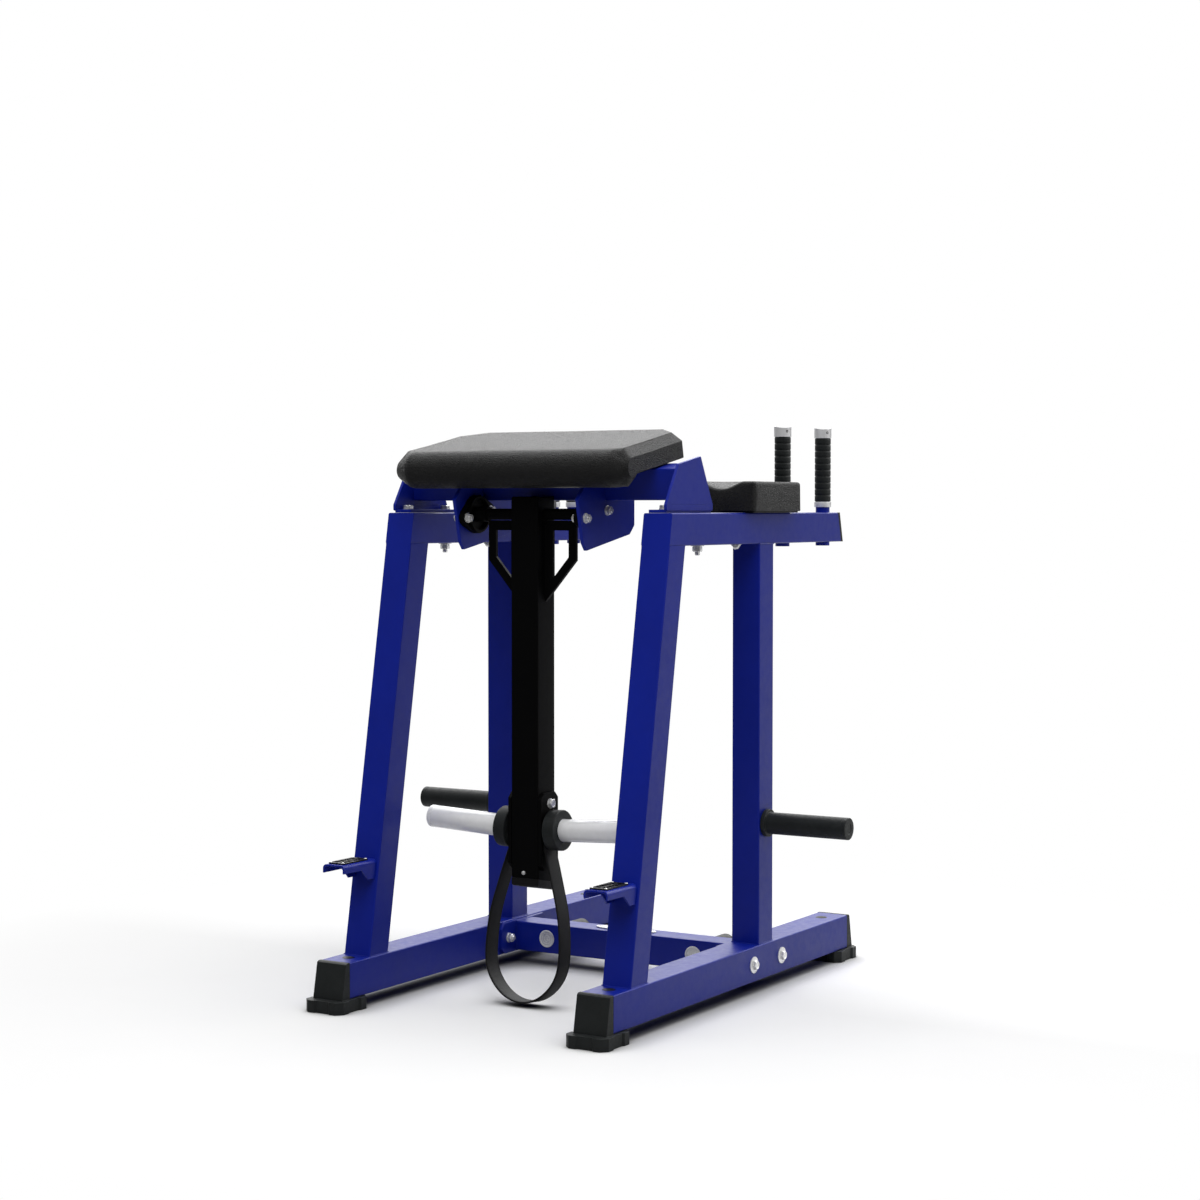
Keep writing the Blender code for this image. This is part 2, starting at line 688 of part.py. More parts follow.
def end_foot_mesh(overhang):
    """Front end foot in one moulding, at its tube's end face: foot, sloping cap and stem."""
    b = BASE_SIZE / 2
    e = CAP_EDGE
    low = -b - FOOT_HEIGHT / 2
    side = [(-CAP_FOOT_DEPTH, low), (0.0, low), (0.0, b), (-CAP_TOP_DEPTH + e, b),
            (-CAP_TOP_DEPTH - e / 2, b - e), (-CAP_FOOT_DEPTH, -b + e)]
    head = outline_mesh([side], BASE_SIZE - 2 * CAP_SIDE_STEP)
    inside = BASE_SIZE - 2 * TUBE_WALL - 2 * CLEAR
    stem = box_mesh(inside, CAP_STEM, inside)
    foot_y = FOOT_LENGTH / 2 - overhang
    foot_z = -b - CLEAR - FOOT_HEIGHT / 2
    return fused_mesh([(foot_mesh(), place(0, foot_y, foot_z)),
                       (head, place(0, -CLEAR, 0, ALONG_X)),
                       (stem, place(0, CAP_STEM / 2 - CLEAR - CAP_STEM_BITE, 0))])


def end_feet():
    """Four rubber end feet that close and carry the base tubes."""
    turn = Matrix.Rotation(math.pi, 4, "Z")
    front = end_foot_mesh(FOOT_OVERHANG)
    rear = end_foot_mesh(REAR_FOOT_OVERHANG)
    for side, sign in (("left", -1), ("right", 1)):
        add_part("end_foot_front_" + side, front.copy(), "rubber",
                 place(sign * SIDE_X, BASE_FRONT_Y, BASE_MID_Z))
        add_part("end_foot_rear_" + side, rear.copy(), "rubber",
                 place(sign * SIDE_X, BASE_REAR_Y, BASE_MID_Z, turn))


def top_cap_mesh():
    """Thin cap that follows the slanted end of a top tube, with its stem."""
    b = UPRIGHT_SIZE / 2
    lower = TOP_TUBE_SLANT / 2 + CLEAR
    upper = -TOP_TUBE_SLANT / 2 + CLEAR
    thick = TOP_CAP_THICK
    head = outline_mesh([[(lower, -b), (lower + thick, -b), (upper + thick, b), (upper, b)]],
                        UPRIGHT_SIZE - 0.0005)
    s = b - TUBE_WALL - CLEAR
    bite = 0.001
    slope = TOP_TUBE_SLANT / UPRIGHT_SIZE
    stem = outline_mesh([[(-CAP_STEM, -s), (s * slope + CLEAR + bite, -s),
                          (-s * slope + CLEAR + bite, s), (-CAP_STEM, s)]], 2 * s)
    return fused_mesh([(head, ALONG_X.copy()), (stem, ALONG_X.copy())])


def top_caps():
    """Two caps in the rear ends of the top tubes."""
    mesh = top_cap_mesh()
    for side, sign in (("left", -1), ("right", 1)):
        add_part("top_tube_cap_" + side, mesh.copy(), "plastic",
                 place(sign * SIDE_X, TOP_TUBE_REAR_Y, TOP_TUBE_MID_Z))


# Base cross tube

def cross_tube():
    """Cross tube with a bolting plate welded on each end."""
    length = 2 * CROSS_END_X
    tube = tube_mesh(UPRIGHT_SIZE, UPRIGHT_SIZE, length)
    holes = [circle_loop(BOLT_HOLE, y - CROSS_Y, 0.0, 12) for y in flange_bolt_places()]
    window = rectangle(UPRIGHT_SIZE - 4 * TUBE_WALL, UPRIGHT_SIZE - 4 * TUBE_WALL,
                       0.0, CROSS_MID_Z - BASE_MID_Z)
    loops = [chamfered(FLANGE_LENGTH, FLANGE_HEIGHT, FLANGE_CHAMFER), window] + holes
    plate = outline_mesh(loops, FLANGE_THICK)
    x = CROSS_END_X + FLANGE_THICK / 2 - WELD_BITE
    mesh = fused_mesh([(tube, place(0, CROSS_Y, CROSS_MID_Z, ALONG_X)),
                       (plate, place(x, CROSS_Y, BASE_MID_Z, ALONG_X)),
                       (plate.copy(), place(-x, CROSS_Y, BASE_MID_Z, ALONG_X))])
    obj = add_part("base_cross_tube", mesh, "blue")
    for sign in (-1, 1):
        through_hole(obj, BAND_BOLT_DIAMETER / 2 + HOLE_CLEAR,
                     place(sign * BAND_PEG_X, CROSS_Y, CROSS_MID_Z, ALONG_Y),
                     UPRIGHT_SIZE * 1.3, 12)


def band_pegs():
    """Round pegs behind the cross tube and the dished discs whose bolts hold them."""
    r = BAND_PEG_DIAMETER / 2
    bore = BAND_BOLT_DIAMETER / 2 + HOLE_CLEAR
    length = BAND_PEG_LENGTH
    e = BAND_PEG_EDGE
    profile = [(0, length), (r - e, length), (r - e * 0.3, length - e * 0.3), (r, length - e),
               (r, 0), (bore, 0), (bore, BAND_PEG_BORE_DEPTH), (0, BAND_PEG_BORE_DEPTH)]
    peg = moved(turned_mesh(profile, 20), ALONG_Y)
    rear = CROSS_Y + UPRIGHT_SIZE / 2 + CLEAR
    disc = moved(band_disc_mesh(), Matrix.Rotation(math.pi / 2, 4, "X"))
    front = CROSS_Y - UPRIGHT_SIZE / 2 - CLEAR
    for side, sign in (("left", -1), ("right", 1)):
        add_part("band_peg_" + side, peg.copy(), "rubber",
                 place(sign * BAND_PEG_X, rear, CROSS_MID_Z))
        add_part("band_peg_bolt_" + side, disc.copy(), "aluminium",
                 place(sign * BAND_PEG_X, front, CROSS_MID_Z))


def band_disc_mesh():
    """Dished round washer with its bolt, shank downward."""
    disc = BAND_DISC_DIAMETER / 2
    b = BAND_BOLT_DIAMETER / 2
    t = BAND_DISC_THICK
    reach = UPRIGHT_SIZE + 2 * CLEAR + BAND_BOLT_GRIP
    dish = disc - BAND_DISC_DISH
    profile = [(0, t / 2), (dish, t / 2), (disc - BAND_DISC_ROUND, t), (disc, t * 0.8),
               (disc, 0), (b, 0), (b, -reach), (0, -reach)]
    return turned_mesh(profile, 16)


def flange_bolts():
    """Four bolts through the base tubes and flanges, heads outside."""
    grip = BASE_SIZE + CLEAR + FLANGE_THICK
    outer = SIDE_X + BASE_SIZE / 2
    mesh = bolt_mesh(grip, WIDE_WASHER_DIAMETER)
    for side, sign in (("left", -1), ("right", 1)):
        turn = Matrix.Rotation(sign * math.pi / 2, 4, "Y")
        for end, y in zip(("front", "rear"), flange_bolt_places()):
            add_part(f"flange_bolt_{end}_{side}", mesh.copy(), "zinc",
                     place(sign * outer, y, BASE_MID_Z, turn))


# Storage pegs

def storage_pegs():
    """Plate storage pegs on the outer faces of the rear uprights."""
    r = STORE_PEG_DIAMETER / 2
    c = STORE_COLLAR_DIAMETER / 2
    e = STORE_PEG_EDGE
    length = STORE_PEG_LENGTH
    base = STORE_COLLAR_LENGTH
    profile = [(0, length), (r - e, length), (r - e * 0.3, length - e * 0.3), (r, length - e),
               (r, base), (c - 0.002, base), (c, base - 0.002), (c, 0), (0, 0)]
    mesh = turned_mesh(profile, 24)
    start = SIDE_X + UPRIGHT_SIZE / 2 + CLEAR
    for side, sign in (("left", -1), ("right", 1)):
        turn = Matrix.Rotation(sign * math.pi / 2, 4, "Y")
        add_part("storage_peg_" + side, mesh.copy(), "rubber",
                 place(sign * start, REAR_UPRIGHT_Y, STORE_PEG_Z, turn))


# Foot steps

def step_face_y(z):
    """Y of the front upright's front face at a height."""
    return FRONT_TOP_Y - (TOP_TUBE_BOTTOM - z) * math.tan(FRONT_LEAN) - LEAN_DEPTH / 2


def foot_step(name, sign):
    """Folded channel with deeper side walls where it meets the upright."""
    a = STEP_WIDTH / 2
    d = STEP_DEPTH
    s = STEP_SHEET
    outer = rounded_loop([(-a, -d - 0.03), (a, -d - 0.03), (a, 0), (-a, 0)], STEP_CORNER, 4)
    outer = [(x, z) for x, z in outer if z > -d - 0.001]
    left = [(-a, -d), (-a + s, -d)]
    inner = [(a - s, -STEP_CORNER), (a - STEP_CORNER, -s),
             (-a + STEP_CORNER, -s), (-a + s, -STEP_CORNER)]
    loop = [(a, -d)] + outer + left + list(reversed(inner)) + [(a - s, -d)]
    mesh = outline_mesh([loop], STEP_LENGTH)
    moved(mesh, UPRIGHT_PLANE)
    lean = math.tan(FRONT_LEAN)
    for vertex in mesh.vertices:
        if vertex.co.y > 0:
            vertex.co.y += vertex.co.z * lean
    rear = step_face_y(STEP_TOP_Z) - CLEAR
    middle = rear - STEP_LENGTH / 2
    obj = add_part(name, mesh, "blue", place(sign * SIDE_X, middle, STEP_TOP_Z))
    far = STEP_LENGTH
    deep = STEP_LENGTH / 2 - STEP_DEEP_FROM
    waste = [(-far, -STEP_LIP), (deep - 0.022, -STEP_LIP), (deep, -d + 0.0015),
             (deep, -2 * d), (-far, -2 * d)]
    cut(obj, outline_mesh([list(reversed(waste))], STEP_WIDTH * 1.5),
        place(sign * SIDE_X, middle, STEP_TOP_Z, ALONG_X))
    return middle


def tread_mesh():
    """Slotted plate: two columns of slots between thin ribs."""
    loops = [chamfered(TREAD_WIDTH, TREAD_LENGTH, 0.003)]
    wide = (TREAD_WIDTH - 2 * SLOT_BORDER - SLOT_RIB) / 2
    room = TREAD_LENGTH - 4 * SLOT_BORDER - (SLOT_ROWS - 1) * SLOT_RIB
    deep = room / SLOT_ROWS
    for row in range(SLOT_ROWS):
        y = -room / 2 - (SLOT_ROWS - 1) * SLOT_RIB / 2 + deep / 2 + row * (deep + SLOT_RIB)
        for x in (-(wide + SLOT_RIB) / 2, (wide + SLOT_RIB) / 2):
            loops.append(rectangle(wide, deep, x, y))
    return outline_mesh(loops, TREAD_THICK)


def foot_steps():
    """Both steps with their treads."""
    mesh = tread_mesh()
    for side, sign in (("left", -1), ("right", 1)):
        middle = foot_step("foot_step_" + side, sign)
        y = middle - STEP_LENGTH / 2 + TREAD_INSET + TREAD_LENGTH / 2
        add_part("step_tread_" + side, mesh.copy(), "plastic",
                 place(sign * SIDE_X, y, STEP_TOP_Z + CLEAR + TREAD_THICK / 2))


# Pad beam and brackets

def beam_point(along, up):
    """Y and Z of a point given along the pad's tilt and square to it, from the beam."""
    y = BEAM_Y + along * math.cos(PAD_TILT) - up * math.sin(PAD_TILT)
    z = BEAM_Z + along * math.sin(PAD_TILT) + up * math.cos(PAD_TILT)
    return y, z


def pad_beam():
    """Tilted square tube that carries the main pad."""
    length = 2 * (BRACKET_INNER_X - CLEAR)
    mesh = moved(tube_mesh(UPRIGHT_SIZE, UPRIGHT_SIZE, length), ALONG_X)
    add_part("pad_beam", mesh, "blue", tilted(0, BEAM_Y, BEAM_Z, PAD_TILT, ALONG_Z))


def pad_bracket(name, sign):
    """Trapezoid side plate with a base flange, folded as one piece."""
    middle = BEAM_Y + BRACKET_SHIFT
    half = BRACKET_LENGTH / 2
    low = TOP_HEIGHT + CLEAR
    edge = low + BRACKET_LIFT
    top = UPRIGHT_SIZE / 2 + BRACKET_RISE
    rear_y, rear_z = beam_point(BRACKET_TOP_LENGTH / 2, top)
    front_y, front_z = beam_point(-BRACKET_TOP_LENGTH / 2, top)
    shift = middle - (rear_y + front_y) / 2
    corners = [(middle - half, edge), (middle + half, edge),
               (middle + half, low + BRACKET_LIP), (rear_y + shift, rear_z),
               (front_y + shift, front_z), (middle - half, low + BRACKET_LIP)]
    side = outline_mesh([rounded_loop(corners, BRACKET_THICK / 2, 2)], BRACKET_THICK)
    width = BRACKET_FLANGE - BRACKET_BEND
    foot = box_mesh(width, BRACKET_LENGTH - BRACKET_THICK, BRACKET_THICK)
    x_side = sign * (BRACKET_OUTER_X - BRACKET_THICK / 2)
    x_foot = sign * (BRACKET_OUTER_X - BRACKET_BEND - width / 2)
    mesh = fused_mesh([(side, place(x_side, 0, 0, ALONG_X)),
                       (foot, place(x_foot, middle, low + BRACKET_THICK / 2))])
    add_part(name, mesh, "blue")


def pivot_plate(name, sign):
    """Plate that saddles the pad beam and carries one bearing."""
    half = UPRIGHT_SIZE / 2
    notch = half + CLEAR
    corners = [(PIVOT_Y - NOSE_REACH, PIVOT_Z + NOSE_RISE),
               (PIVOT_Y - HEEL_REACH, PIVOT_Z - HEEL_DROP),
               (PIVOT_Y - TOE_REACH, PIVOT_Z - TOE_DROP),
               (PIVOT_Y + TAIL_REACH - TAIL_CORNER, PIVOT_Z - TAIL_DROP - TAIL_CORNER),
               (PIVOT_Y + TAIL_REACH, PIVOT_Z - TAIL_DROP),
               (PIVOT_Y + TAIL_REACH, PIVOT_Z + TAIL_RISE),
               beam_point(REAR_EAR, half), beam_point(notch, half),
               beam_point(notch, -notch), beam_point(-notch, -notch),
               beam_point(-notch, half), beam_point(-FRONT_EAR, half),
               beam_point(-BROW_REACH, BROW_RISE)]
    mesh = moved(outline_mesh([corners], PIVOT_PLATE_THICK), ALONG_X)
    x = PIVOT_PLATE_OUTER_X - PIVOT_PLATE_THICK / 2
    add_part(name, mesh, "blue", place(sign * x, 0, 0))


# Bearings and shaft

def housing_outline():
    """Rhombic flange: hub circle joined to two lug circles by tangents."""
    hub = HOUSING_RIM / 2 + RIM_STEP
    lug = HOUSING_LUG
    a = HOUSING_BOLT_SPREAD / 2
    tangent = math.acos((hub - lug) / a)
    loop = []
    for k in range(5):
        angle = -tangent + k * 2 * tangent / 4
        loop.append((a + lug * math.cos(angle), lug * math.sin(angle)))
    for k in range(5):
        angle = tangent + k * (math.pi - 2 * tangent) / 4
        loop.append((hub * math.cos(angle), hub * math.sin(angle)))
    for k in range(5):
        angle = math.pi - tangent + k * 2 * tangent / 4
        loop.append((-a + lug * math.cos(angle), lug * math.sin(angle)))
    for k in range(5):
        angle = math.pi + tangent + k * (math.pi - 2 * tangent) / 4
        loop.append((hub * math.cos(angle), hub * math.sin(angle)))
    return loop


def housing_mesh():
    """Flange with a round rim, a hollow in it and the bearing's ring in the middle."""
    rim = HOUSING_RIM / 2
    back = -HOUSING_FLANGE / 2
    face = back + HOUSING_DEPTH
    end = back + BEARING_REACH
    floor = face - HOUSING_HOLLOW
    ring = BEARING_RING / 2
    e = BEARING_EDGE
    hole = circle_loop(rim - HOUSING_WALL / 2)
    flange = outline_mesh([housing_outline(), hole], HOUSING_FLANGE)
    profile = [(0, end), (ring - e, end), (ring, end - e), (ring, floor),
               (rim - HOUSING_WALL - HOUSING_SLOPE, floor), (rim - HOUSING_WALL, face),
               (rim - e, face), (rim, face - e), (rim, back + WELD_BITE), (0, back + WELD_BITE)]
    return fused_mesh([(flange, ALONG_Z.copy()), (turned_mesh(profile, 28), ALONG_Z.copy())])


def bearing_housing(name, sign):
    """Two-bolt flanged housing on the inner face of a pivot plate."""
    face = sign * (PIVOT_PLATE_INNER_X - CLEAR)
    turn = ALONG_X if sign < 0 else Matrix.Rotation(math.pi, 4, "Z") @ ALONG_X
    matrix = tilted(face - sign * HOUSING_FLANGE / 2, PIVOT_Y, PIVOT_Z, PAD_TILT, turn)
    obj = add_part(name, housing_mesh(), "black_steel", matrix)
    middle = HOUSING_FLANGE / 2 - WELD_BITE + HOUSING_DEPTH
    for end in (-1, 1):
        spot = matrix @ Matrix.Translation((end * HOUSING_BOLT_SPREAD / 2, 0.0, middle))
        through_hole(obj, SPOT_FACE / 2, spot, 2 * HOUSING_DEPTH)
    through_hole(obj, SHAFT_DIAMETER / 2 + HOLE_CLEAR,
                 place(face, PIVOT_Y, PIVOT_Z, ALONG_X), BEARING_REACH * 3, 24)


def pivot_shaft(axis):
    """Round shaft through both bearings and the arm."""
    mesh = moved(cylinder_mesh(SHAFT_DIAMETER / 2, 2 * SHAFT_END_X, 24), ALONG_X)
    add_part("pivot_shaft", mesh, "black_steel", place(0, PIVOT_Y, PIVOT_Z), parent=axis)


# Pendulum

def pendulum_arm(axis):
    """Square tube, closed on top, with two gusset frames and holes for shaft, axle, bolt."""
    levels = [(ARM_BOTTOM_Z, 0.0, 1.0), (ARM_TOP_Z - ARM_TOP_EDGE, 0.0, 1.0),
              (ARM_TOP_Z, ARM_TOP_EDGE, 1.0)]
    tube = stacked_mesh(rounded_loop(rectangle(ARM_SIZE, ARM_SIZE), TUBE_CORNER), levels)
    for vertex in tube.vertices:
        if vertex.co.z < SLEEVE_AXIS_Z:
            vertex.co.z -= ARM_END_SLOPE * vertex.co.y
    gusset = gusset_mesh()
    half_turn = Matrix.Rotation(math.pi, 4, "Z")
    mesh = fused_mesh([(tube, place(0, PIVOT_Y, 0)),
                       (gusset, place(0, PIVOT_Y, 0)),
                       (gusset.copy(), place(0, PIVOT_Y, 0, half_turn))])
    obj = add_part("pendulum_arm", mesh, "black_steel", parent=axis)
    inside = ARM_SIZE - 2 * ARM_WALL
    low = ARM_BOTTOM_Z - ARM_SIZE / 2
    high = ARM_TOP_Z - ARM_WALL
    cut(obj, box_mesh(inside, inside, high - low), place(0, PIVOT_Y, (low + high) / 2))
    wide = ARM_SIZE * 1.3
    through_hole(obj, SHAFT_DIAMETER / 2 + HOLE_CLEAR, place(0, PIVOT_Y, PIVOT_Z, ALONG_X), wide)
    through_hole(obj, AXLE_HOLE, place(0, PIVOT_Y, SLEEVE_AXIS_Z, ALONG_X), wide)
    through_hole(obj, BOLT_HOLE, place(0, PIVOT_Y, CARRIAGE_BOLT_Z, ALONG_X), wide, 16)


def gusset_mesh():
    """Open triangular frame, in the XZ plane, on the +X side of the arm."""
    near = ARM_SIZE / 2 - WELD_BITE
    far = GUSSET_REACH
    top = GUSSET_TOP_Z
    outer = [(near, GUSSET_FOOT_Z), (far, GUSSET_KNEE_Z), (far, top), (near, top)]
    window_near = near + GUSSET_INNER_BAR
    window_far = far - GUSSET_BAR
    slope = (GUSSET_KNEE_Z - GUSSET_FOOT_Z) / (far - near)
    lift = GUSSET_BAR * math.sqrt(1 + slope * slope)
    low = GUSSET_FOOT_Z + slope * (window_near - near) + lift
    high = GUSSET_FOOT_Z + slope * (window_far - near) + lift
    inner = [(window_near, low), (window_far, high),
             (window_far, top - GUSSET_TOP_BAR), (window_near, top - GUSSET_TOP_BAR)]
    return moved(outline_mesh([outer, inner], GUSSET_THICK), UPRIGHT_PLANE)


def arm_cap(axis):
    """Plug in the slanted lower end of the arm."""
    upside_down = Matrix.Rotation(math.pi, 4, "X")
    add_part("arm_bottom_cap", arm_cap_mesh(ARM_BOTTOM_CAP), "plastic",
             place(0, PIVOT_Y, ARM_BOTTOM_Z, upside_down), parent=axis)


def arm_cap_mesh(thick):
    """Cap for the arm's slanted end: chamfered head from z = 0 up, stem below."""
    inside = ARM_SIZE - 2 * ARM_WALL - 2 * CLEAR
    head = cap_head_mesh(ARM_SIZE, thick, min(0.003, thick * 0.8))
    stem = box_mesh(inside, inside, CAP_STEM)
    mesh = fused_mesh([(head, place(0, 0, CLEAR)),
                       (stem, place(0, 0, CLEAR + 0.001 - CAP_STEM / 2))])
    for vertex in mesh.vertices:
        vertex.co.z -= ARM_END_SLOPE * vertex.co.y
    return mesh


def cap_head_mesh(width, thick, edge):
    """Square cap from z = 0 up, its top edges chamfered."""
    mesh = bpy.data.meshes.new("cap_head")
    work = bmesh.new()
    low = work_ring(work, width / 2, 0.0)
    middle = work_ring(work, width / 2, thick - edge)
    high = work_ring(work, width / 2 - edge, thick)
    for lower, upper in ((low, middle), (middle, high)):
        for i in range(4):
            k = (i + 1) % 4
            work.faces.new((lower[i], lower[k], upper[k], upper[i]))
    work.faces.new(high)
    work.faces.new(list(reversed(low)))
    work.to_mesh(mesh)
    work.free()
    return mesh


def work_ring(work, half, z):
    """Four corner points of a square at a height."""
    corners = ((-half, -half), (half, -half), (half, half), (-half, half))
    return [work.verts.new((x, y, z)) for x, y in corners]


def carriage_plates(axis):
    """Plates on both sides of the arm that hold the sleeve axle."""
    height = CARRIAGE_TOP_Z - CARRIAGE_BOTTOM_Z
    middle = (CARRIAGE_TOP_Z + CARRIAGE_BOTTOM_Z) / 2
    loops = [chamfered(ARM_SIZE, height, CARRIAGE_CHAMFER),
             circle_loop(AXLE_HOLE, 0.0, SLEEVE_AXIS_Z - middle, 24),
             circle_loop(BOLT_HOLE, 0.0, CARRIAGE_BOLT_Z - middle, 16)]
    mesh = moved(outline_mesh(loops, CARRIAGE_THICK), ALONG_X)
    x = CARRIAGE_INNER_X + CARRIAGE_THICK / 2
    for side, sign in (("left", -1), ("right", 1)):
        add_part("carriage_plate_" + side, mesh.copy(), "black_steel",
                 place(sign * x, PIVOT_Y, middle), parent=axis)


def carriage_bolt(axis):
    """Bolt through both carriage plates and the arm."""
    mesh = bolt_mesh(2 * CARRIAGE_OUTER_X, SMALL_WASHER_DIAMETER)
    turn = Matrix.Rotation(math.pi / 2, 4, "Y")
    add_part("carriage_bolt", mesh, "zinc",
             place(CARRIAGE_OUTER_X, PIVOT_Y, CARRIAGE_BOLT_Z, turn), parent=axis)


def axle_mesh():
    """Round bar along X whose two ends rise from the bumpers outward."""
    mesh = bpy.data.meshes.new("axle")
    work = bmesh.new()
    rise = math.tan(SLEEVE_TILT)
    bend = math.tan(SLEEVE_TILT / 2)
    rings = []
    for x, lift, lean in ((-AXLE_END_X, (AXLE_END_X - SLEEVE_KNEE_X) * rise, rise),
                          (-SLEEVE_KNEE_X, 0.0, bend), (SLEEVE_KNEE_X, 0.0, -bend),
                          (AXLE_END_X, (AXLE_END_X - SLEEVE_KNEE_X) * rise, -rise)):
        stretch = math.cos(SLEEVE_TILT) if lift else 1.0
        rings.append([work.verts.new((x + lean * v * stretch, u, lift + v * stretch))
                      for u, v in circle_loop(AXLE_DIAMETER / 2, count=24)])
    for lower, upper in zip(rings, rings[1:]):
        for i in range(24):
            k = (i + 1) % 24
            work.faces.new((lower[i], lower[k], upper[k], upper[i]))
    work.faces.new(list(reversed(rings[0])))
    work.faces.new(rings[-1])
    work.to_mesh(mesh)
    work.free()
    return mesh


def sleeves(axis):
    """Axle, rubber bumpers and the rising plate sleeves on it."""
    add_part("sleeve_axle", axle_mesh(), "zinc", place(0, PIVOT_Y, SLEEVE_AXIS_Z), parent=axis)
    r = BUMPER_DIAMETER / 2
    e = BUMPER_EDGE
    n = BUMPER_LENGTH
    bumper = [(r - e, n), (r, n - e), (r, e), (r - e, 0), (AXLE_HOLE, 0), (AXLE_HOLE, n)]
    bumper_mesh = turned_mesh(bumper, 24, closed=True)
    s = SLEEVE_DIAMETER / 2
    start = BUMPER_LENGTH + CLEAR
    length = SLEEVE_END_X - SLEEVE_KNEE_X
    deep = (AXLE_END_X - SLEEVE_KNEE_X) / math.cos(SLEEVE_TILT) + SLEEVE_GAP
    sleeve = [(0, length), (s - SLEEVE_EDGE, length), (s, length - SLEEVE_EDGE), (s, start),
              (AXLE_HOLE, start), (AXLE_HOLE, deep), (0, deep)]
    sleeve_mesh = turned_mesh(sleeve, 24)
    for side, sign in (("left", -1), ("right", 1)):
        turn = Matrix.Rotation(sign * (math.pi / 2 - SLEEVE_TILT), 4, "Y")
        knee = place(sign * SLEEVE_KNEE_X, PIVOT_Y, SLEEVE_AXIS_Z, turn)
        add_part("sleeve_bumper_" + side, bumper_mesh.copy(), "rubber", knee, parent=axis)
        add_part("weight_sleeve_" + side, sleeve_mesh.copy(), "chrome", knee, parent=axis)


# Ankle strap

def strap_path():
    """Half of the loop's middle line, from above the axle to the lowest point."""
    x_top = STRAP_INNER_X + STRAP_THICK / 2
    start = -BUMPER_DIAMETER / 2
    fall = STRAP_DROP + start
    shape = ((0.20, 0.71), (0.42, 0.92), (0.63, 1.0), (0.78, 0.96), (0.89, 0.76), (0.97, 0.42))
    knots = [(x_top, STRAP_TAB), (x_top, start / 2), (x_top, start + BUMPER_EDGE / 2),
             (x_top + STRAP_THICK, start - 2 * STRAP_THICK)]
    knots += [(share * STRAP_HALF_WIDTH, start - depth * fall) for depth, share in shape]
    knots.append((0.0, -STRAP_DROP))
    ghosts = [knots[0]] + knots + [(-knots[-2][0], knots[-2][1])]
    path = []
    for i in range(1, len(ghosts) - 2):
        for k in range(2):
            path.append(smooth_point(ghosts[i - 1:i + 3], k / 2))
    path.append(knots[-1])
    return path


def smooth_point(knots, t):
    """Point of a smooth curve through the two middle knots of four."""
    p0, p1, p2, p3 = [Vector(knot) for knot in knots]
    bend = p1 * 2 + (p2 - p0) * t
    bend += (p0 * 2 - p1 * 5 + p2 * 4 - p3) * t * t
    bend += (p1 * 3 - p0 - p2 * 3 + p3) * t * t * t
    return tuple(bend / 2)


def strap_outline():
    """Closed outline of the strap's edge: outer line, then inner line back."""
    half = strap_path()
    line = half + [(-x, z) for x, z in reversed(half[:-1])]
    outer = []
    inner = []
    for i in range(len(line)):
        before = Vector(line[max(i - 1, 0)])
        after = Vector(line[min(i + 1, len(line) - 1)])
        run = (after - before).normalized()
        side = Vector((-run.y, run.x)) * STRAP_THICK / 2
        outer.append(tuple(Vector(line[i]) + side))
        inner.append(tuple(Vector(line[i]) - side))
    return outer + list(reversed(inner))


def ankle_strap(axis):
    """Flat strap that hangs from the sleeve axle in a loop."""
    mesh = outline_mesh([strap_outline()], STRAP_WIDTH)
    moved(mesh, UPRIGHT_PLANE)
    matrix = tilted(0, PIVOT_Y, SLEEVE_AXIS_Z, -STRAP_LEAN, ALONG_Z)
    obj = add_part("ankle_strap", mesh, "webbing", matrix, parent=axis)
    wide = 4 * (STRAP_INNER_X + STRAP_THICK)
    through_hole(obj, AXLE_HOLE, place(0, PIVOT_Y, SLEEVE_AXIS_Z, ALONG_X), wide, 24)


# Handles

def handles():
    """Ribbed grips with their lower clamp collars, and the clamp collars on top."""
    grip = grip_mesh(POST_DIAMETER / 2 + HOLE_CLEAR)
    collar = collar_cap_mesh(POST_DIAMETER / 2 + HOLE_CLEAR)
    for side, sign in (("left", -1), ("right", 1)):
        for end, x, y in handle_places():
            add_part(f"handle_grip_{end}_{side}", grip.copy(), "rubber",
                     place(sign * x, y, GRIP_LOW))
            add_part(f"handle_collar_{end}_{side}", collar.copy(), "aluminium",
                     place(sign * x, y, TOP_COLLAR_LOW))


def grip_mesh(bore):
    """Ribbed rubber sleeve from z = 0 up, on its lower clamp collar."""
    r = GRIP_DIAMETER / 2
    c = COLLAR_DIAMETER / 2
    pitch = GRIP_LENGTH / GRIP_RIBS
    profile = []
    for i in range(GRIP_RIBS):
        top = GRIP_LENGTH - i * pitch
        profile.append((r - GRIP_GROOVE, top))
        profile.append((r, top - pitch / 2))
    profile += [(r - GRIP_GROOVE, 0.0), (c - 0.0006, 0.0), (c, -0.0006),
                (c, 0.0006 - COLLAR_LOW), (c - 0.0006, -COLLAR_LOW),
                (bore, -COLLAR_LOW), (bore, GRIP_LENGTH)]
    return turned_mesh(profile, 16, closed=True)


def collar_cap_mesh(bore):
    """Top clamp collar: a cup with a dished end."""
    r = COLLAR_DIAMETER / 2
    n = COLLAR_CAP
    floor = n - COLLAR_CAP_WALL
    profile = [(0, n - 0.0022), (r * 0.7, n - 0.0022), (r * 0.86, n), (r - 0.0008, n),
               (r, n - 0.0008), (r, 0), (bore, 0), (bore, floor), (0, floor)]
    return turned_mesh(profile, 16)


# Pads

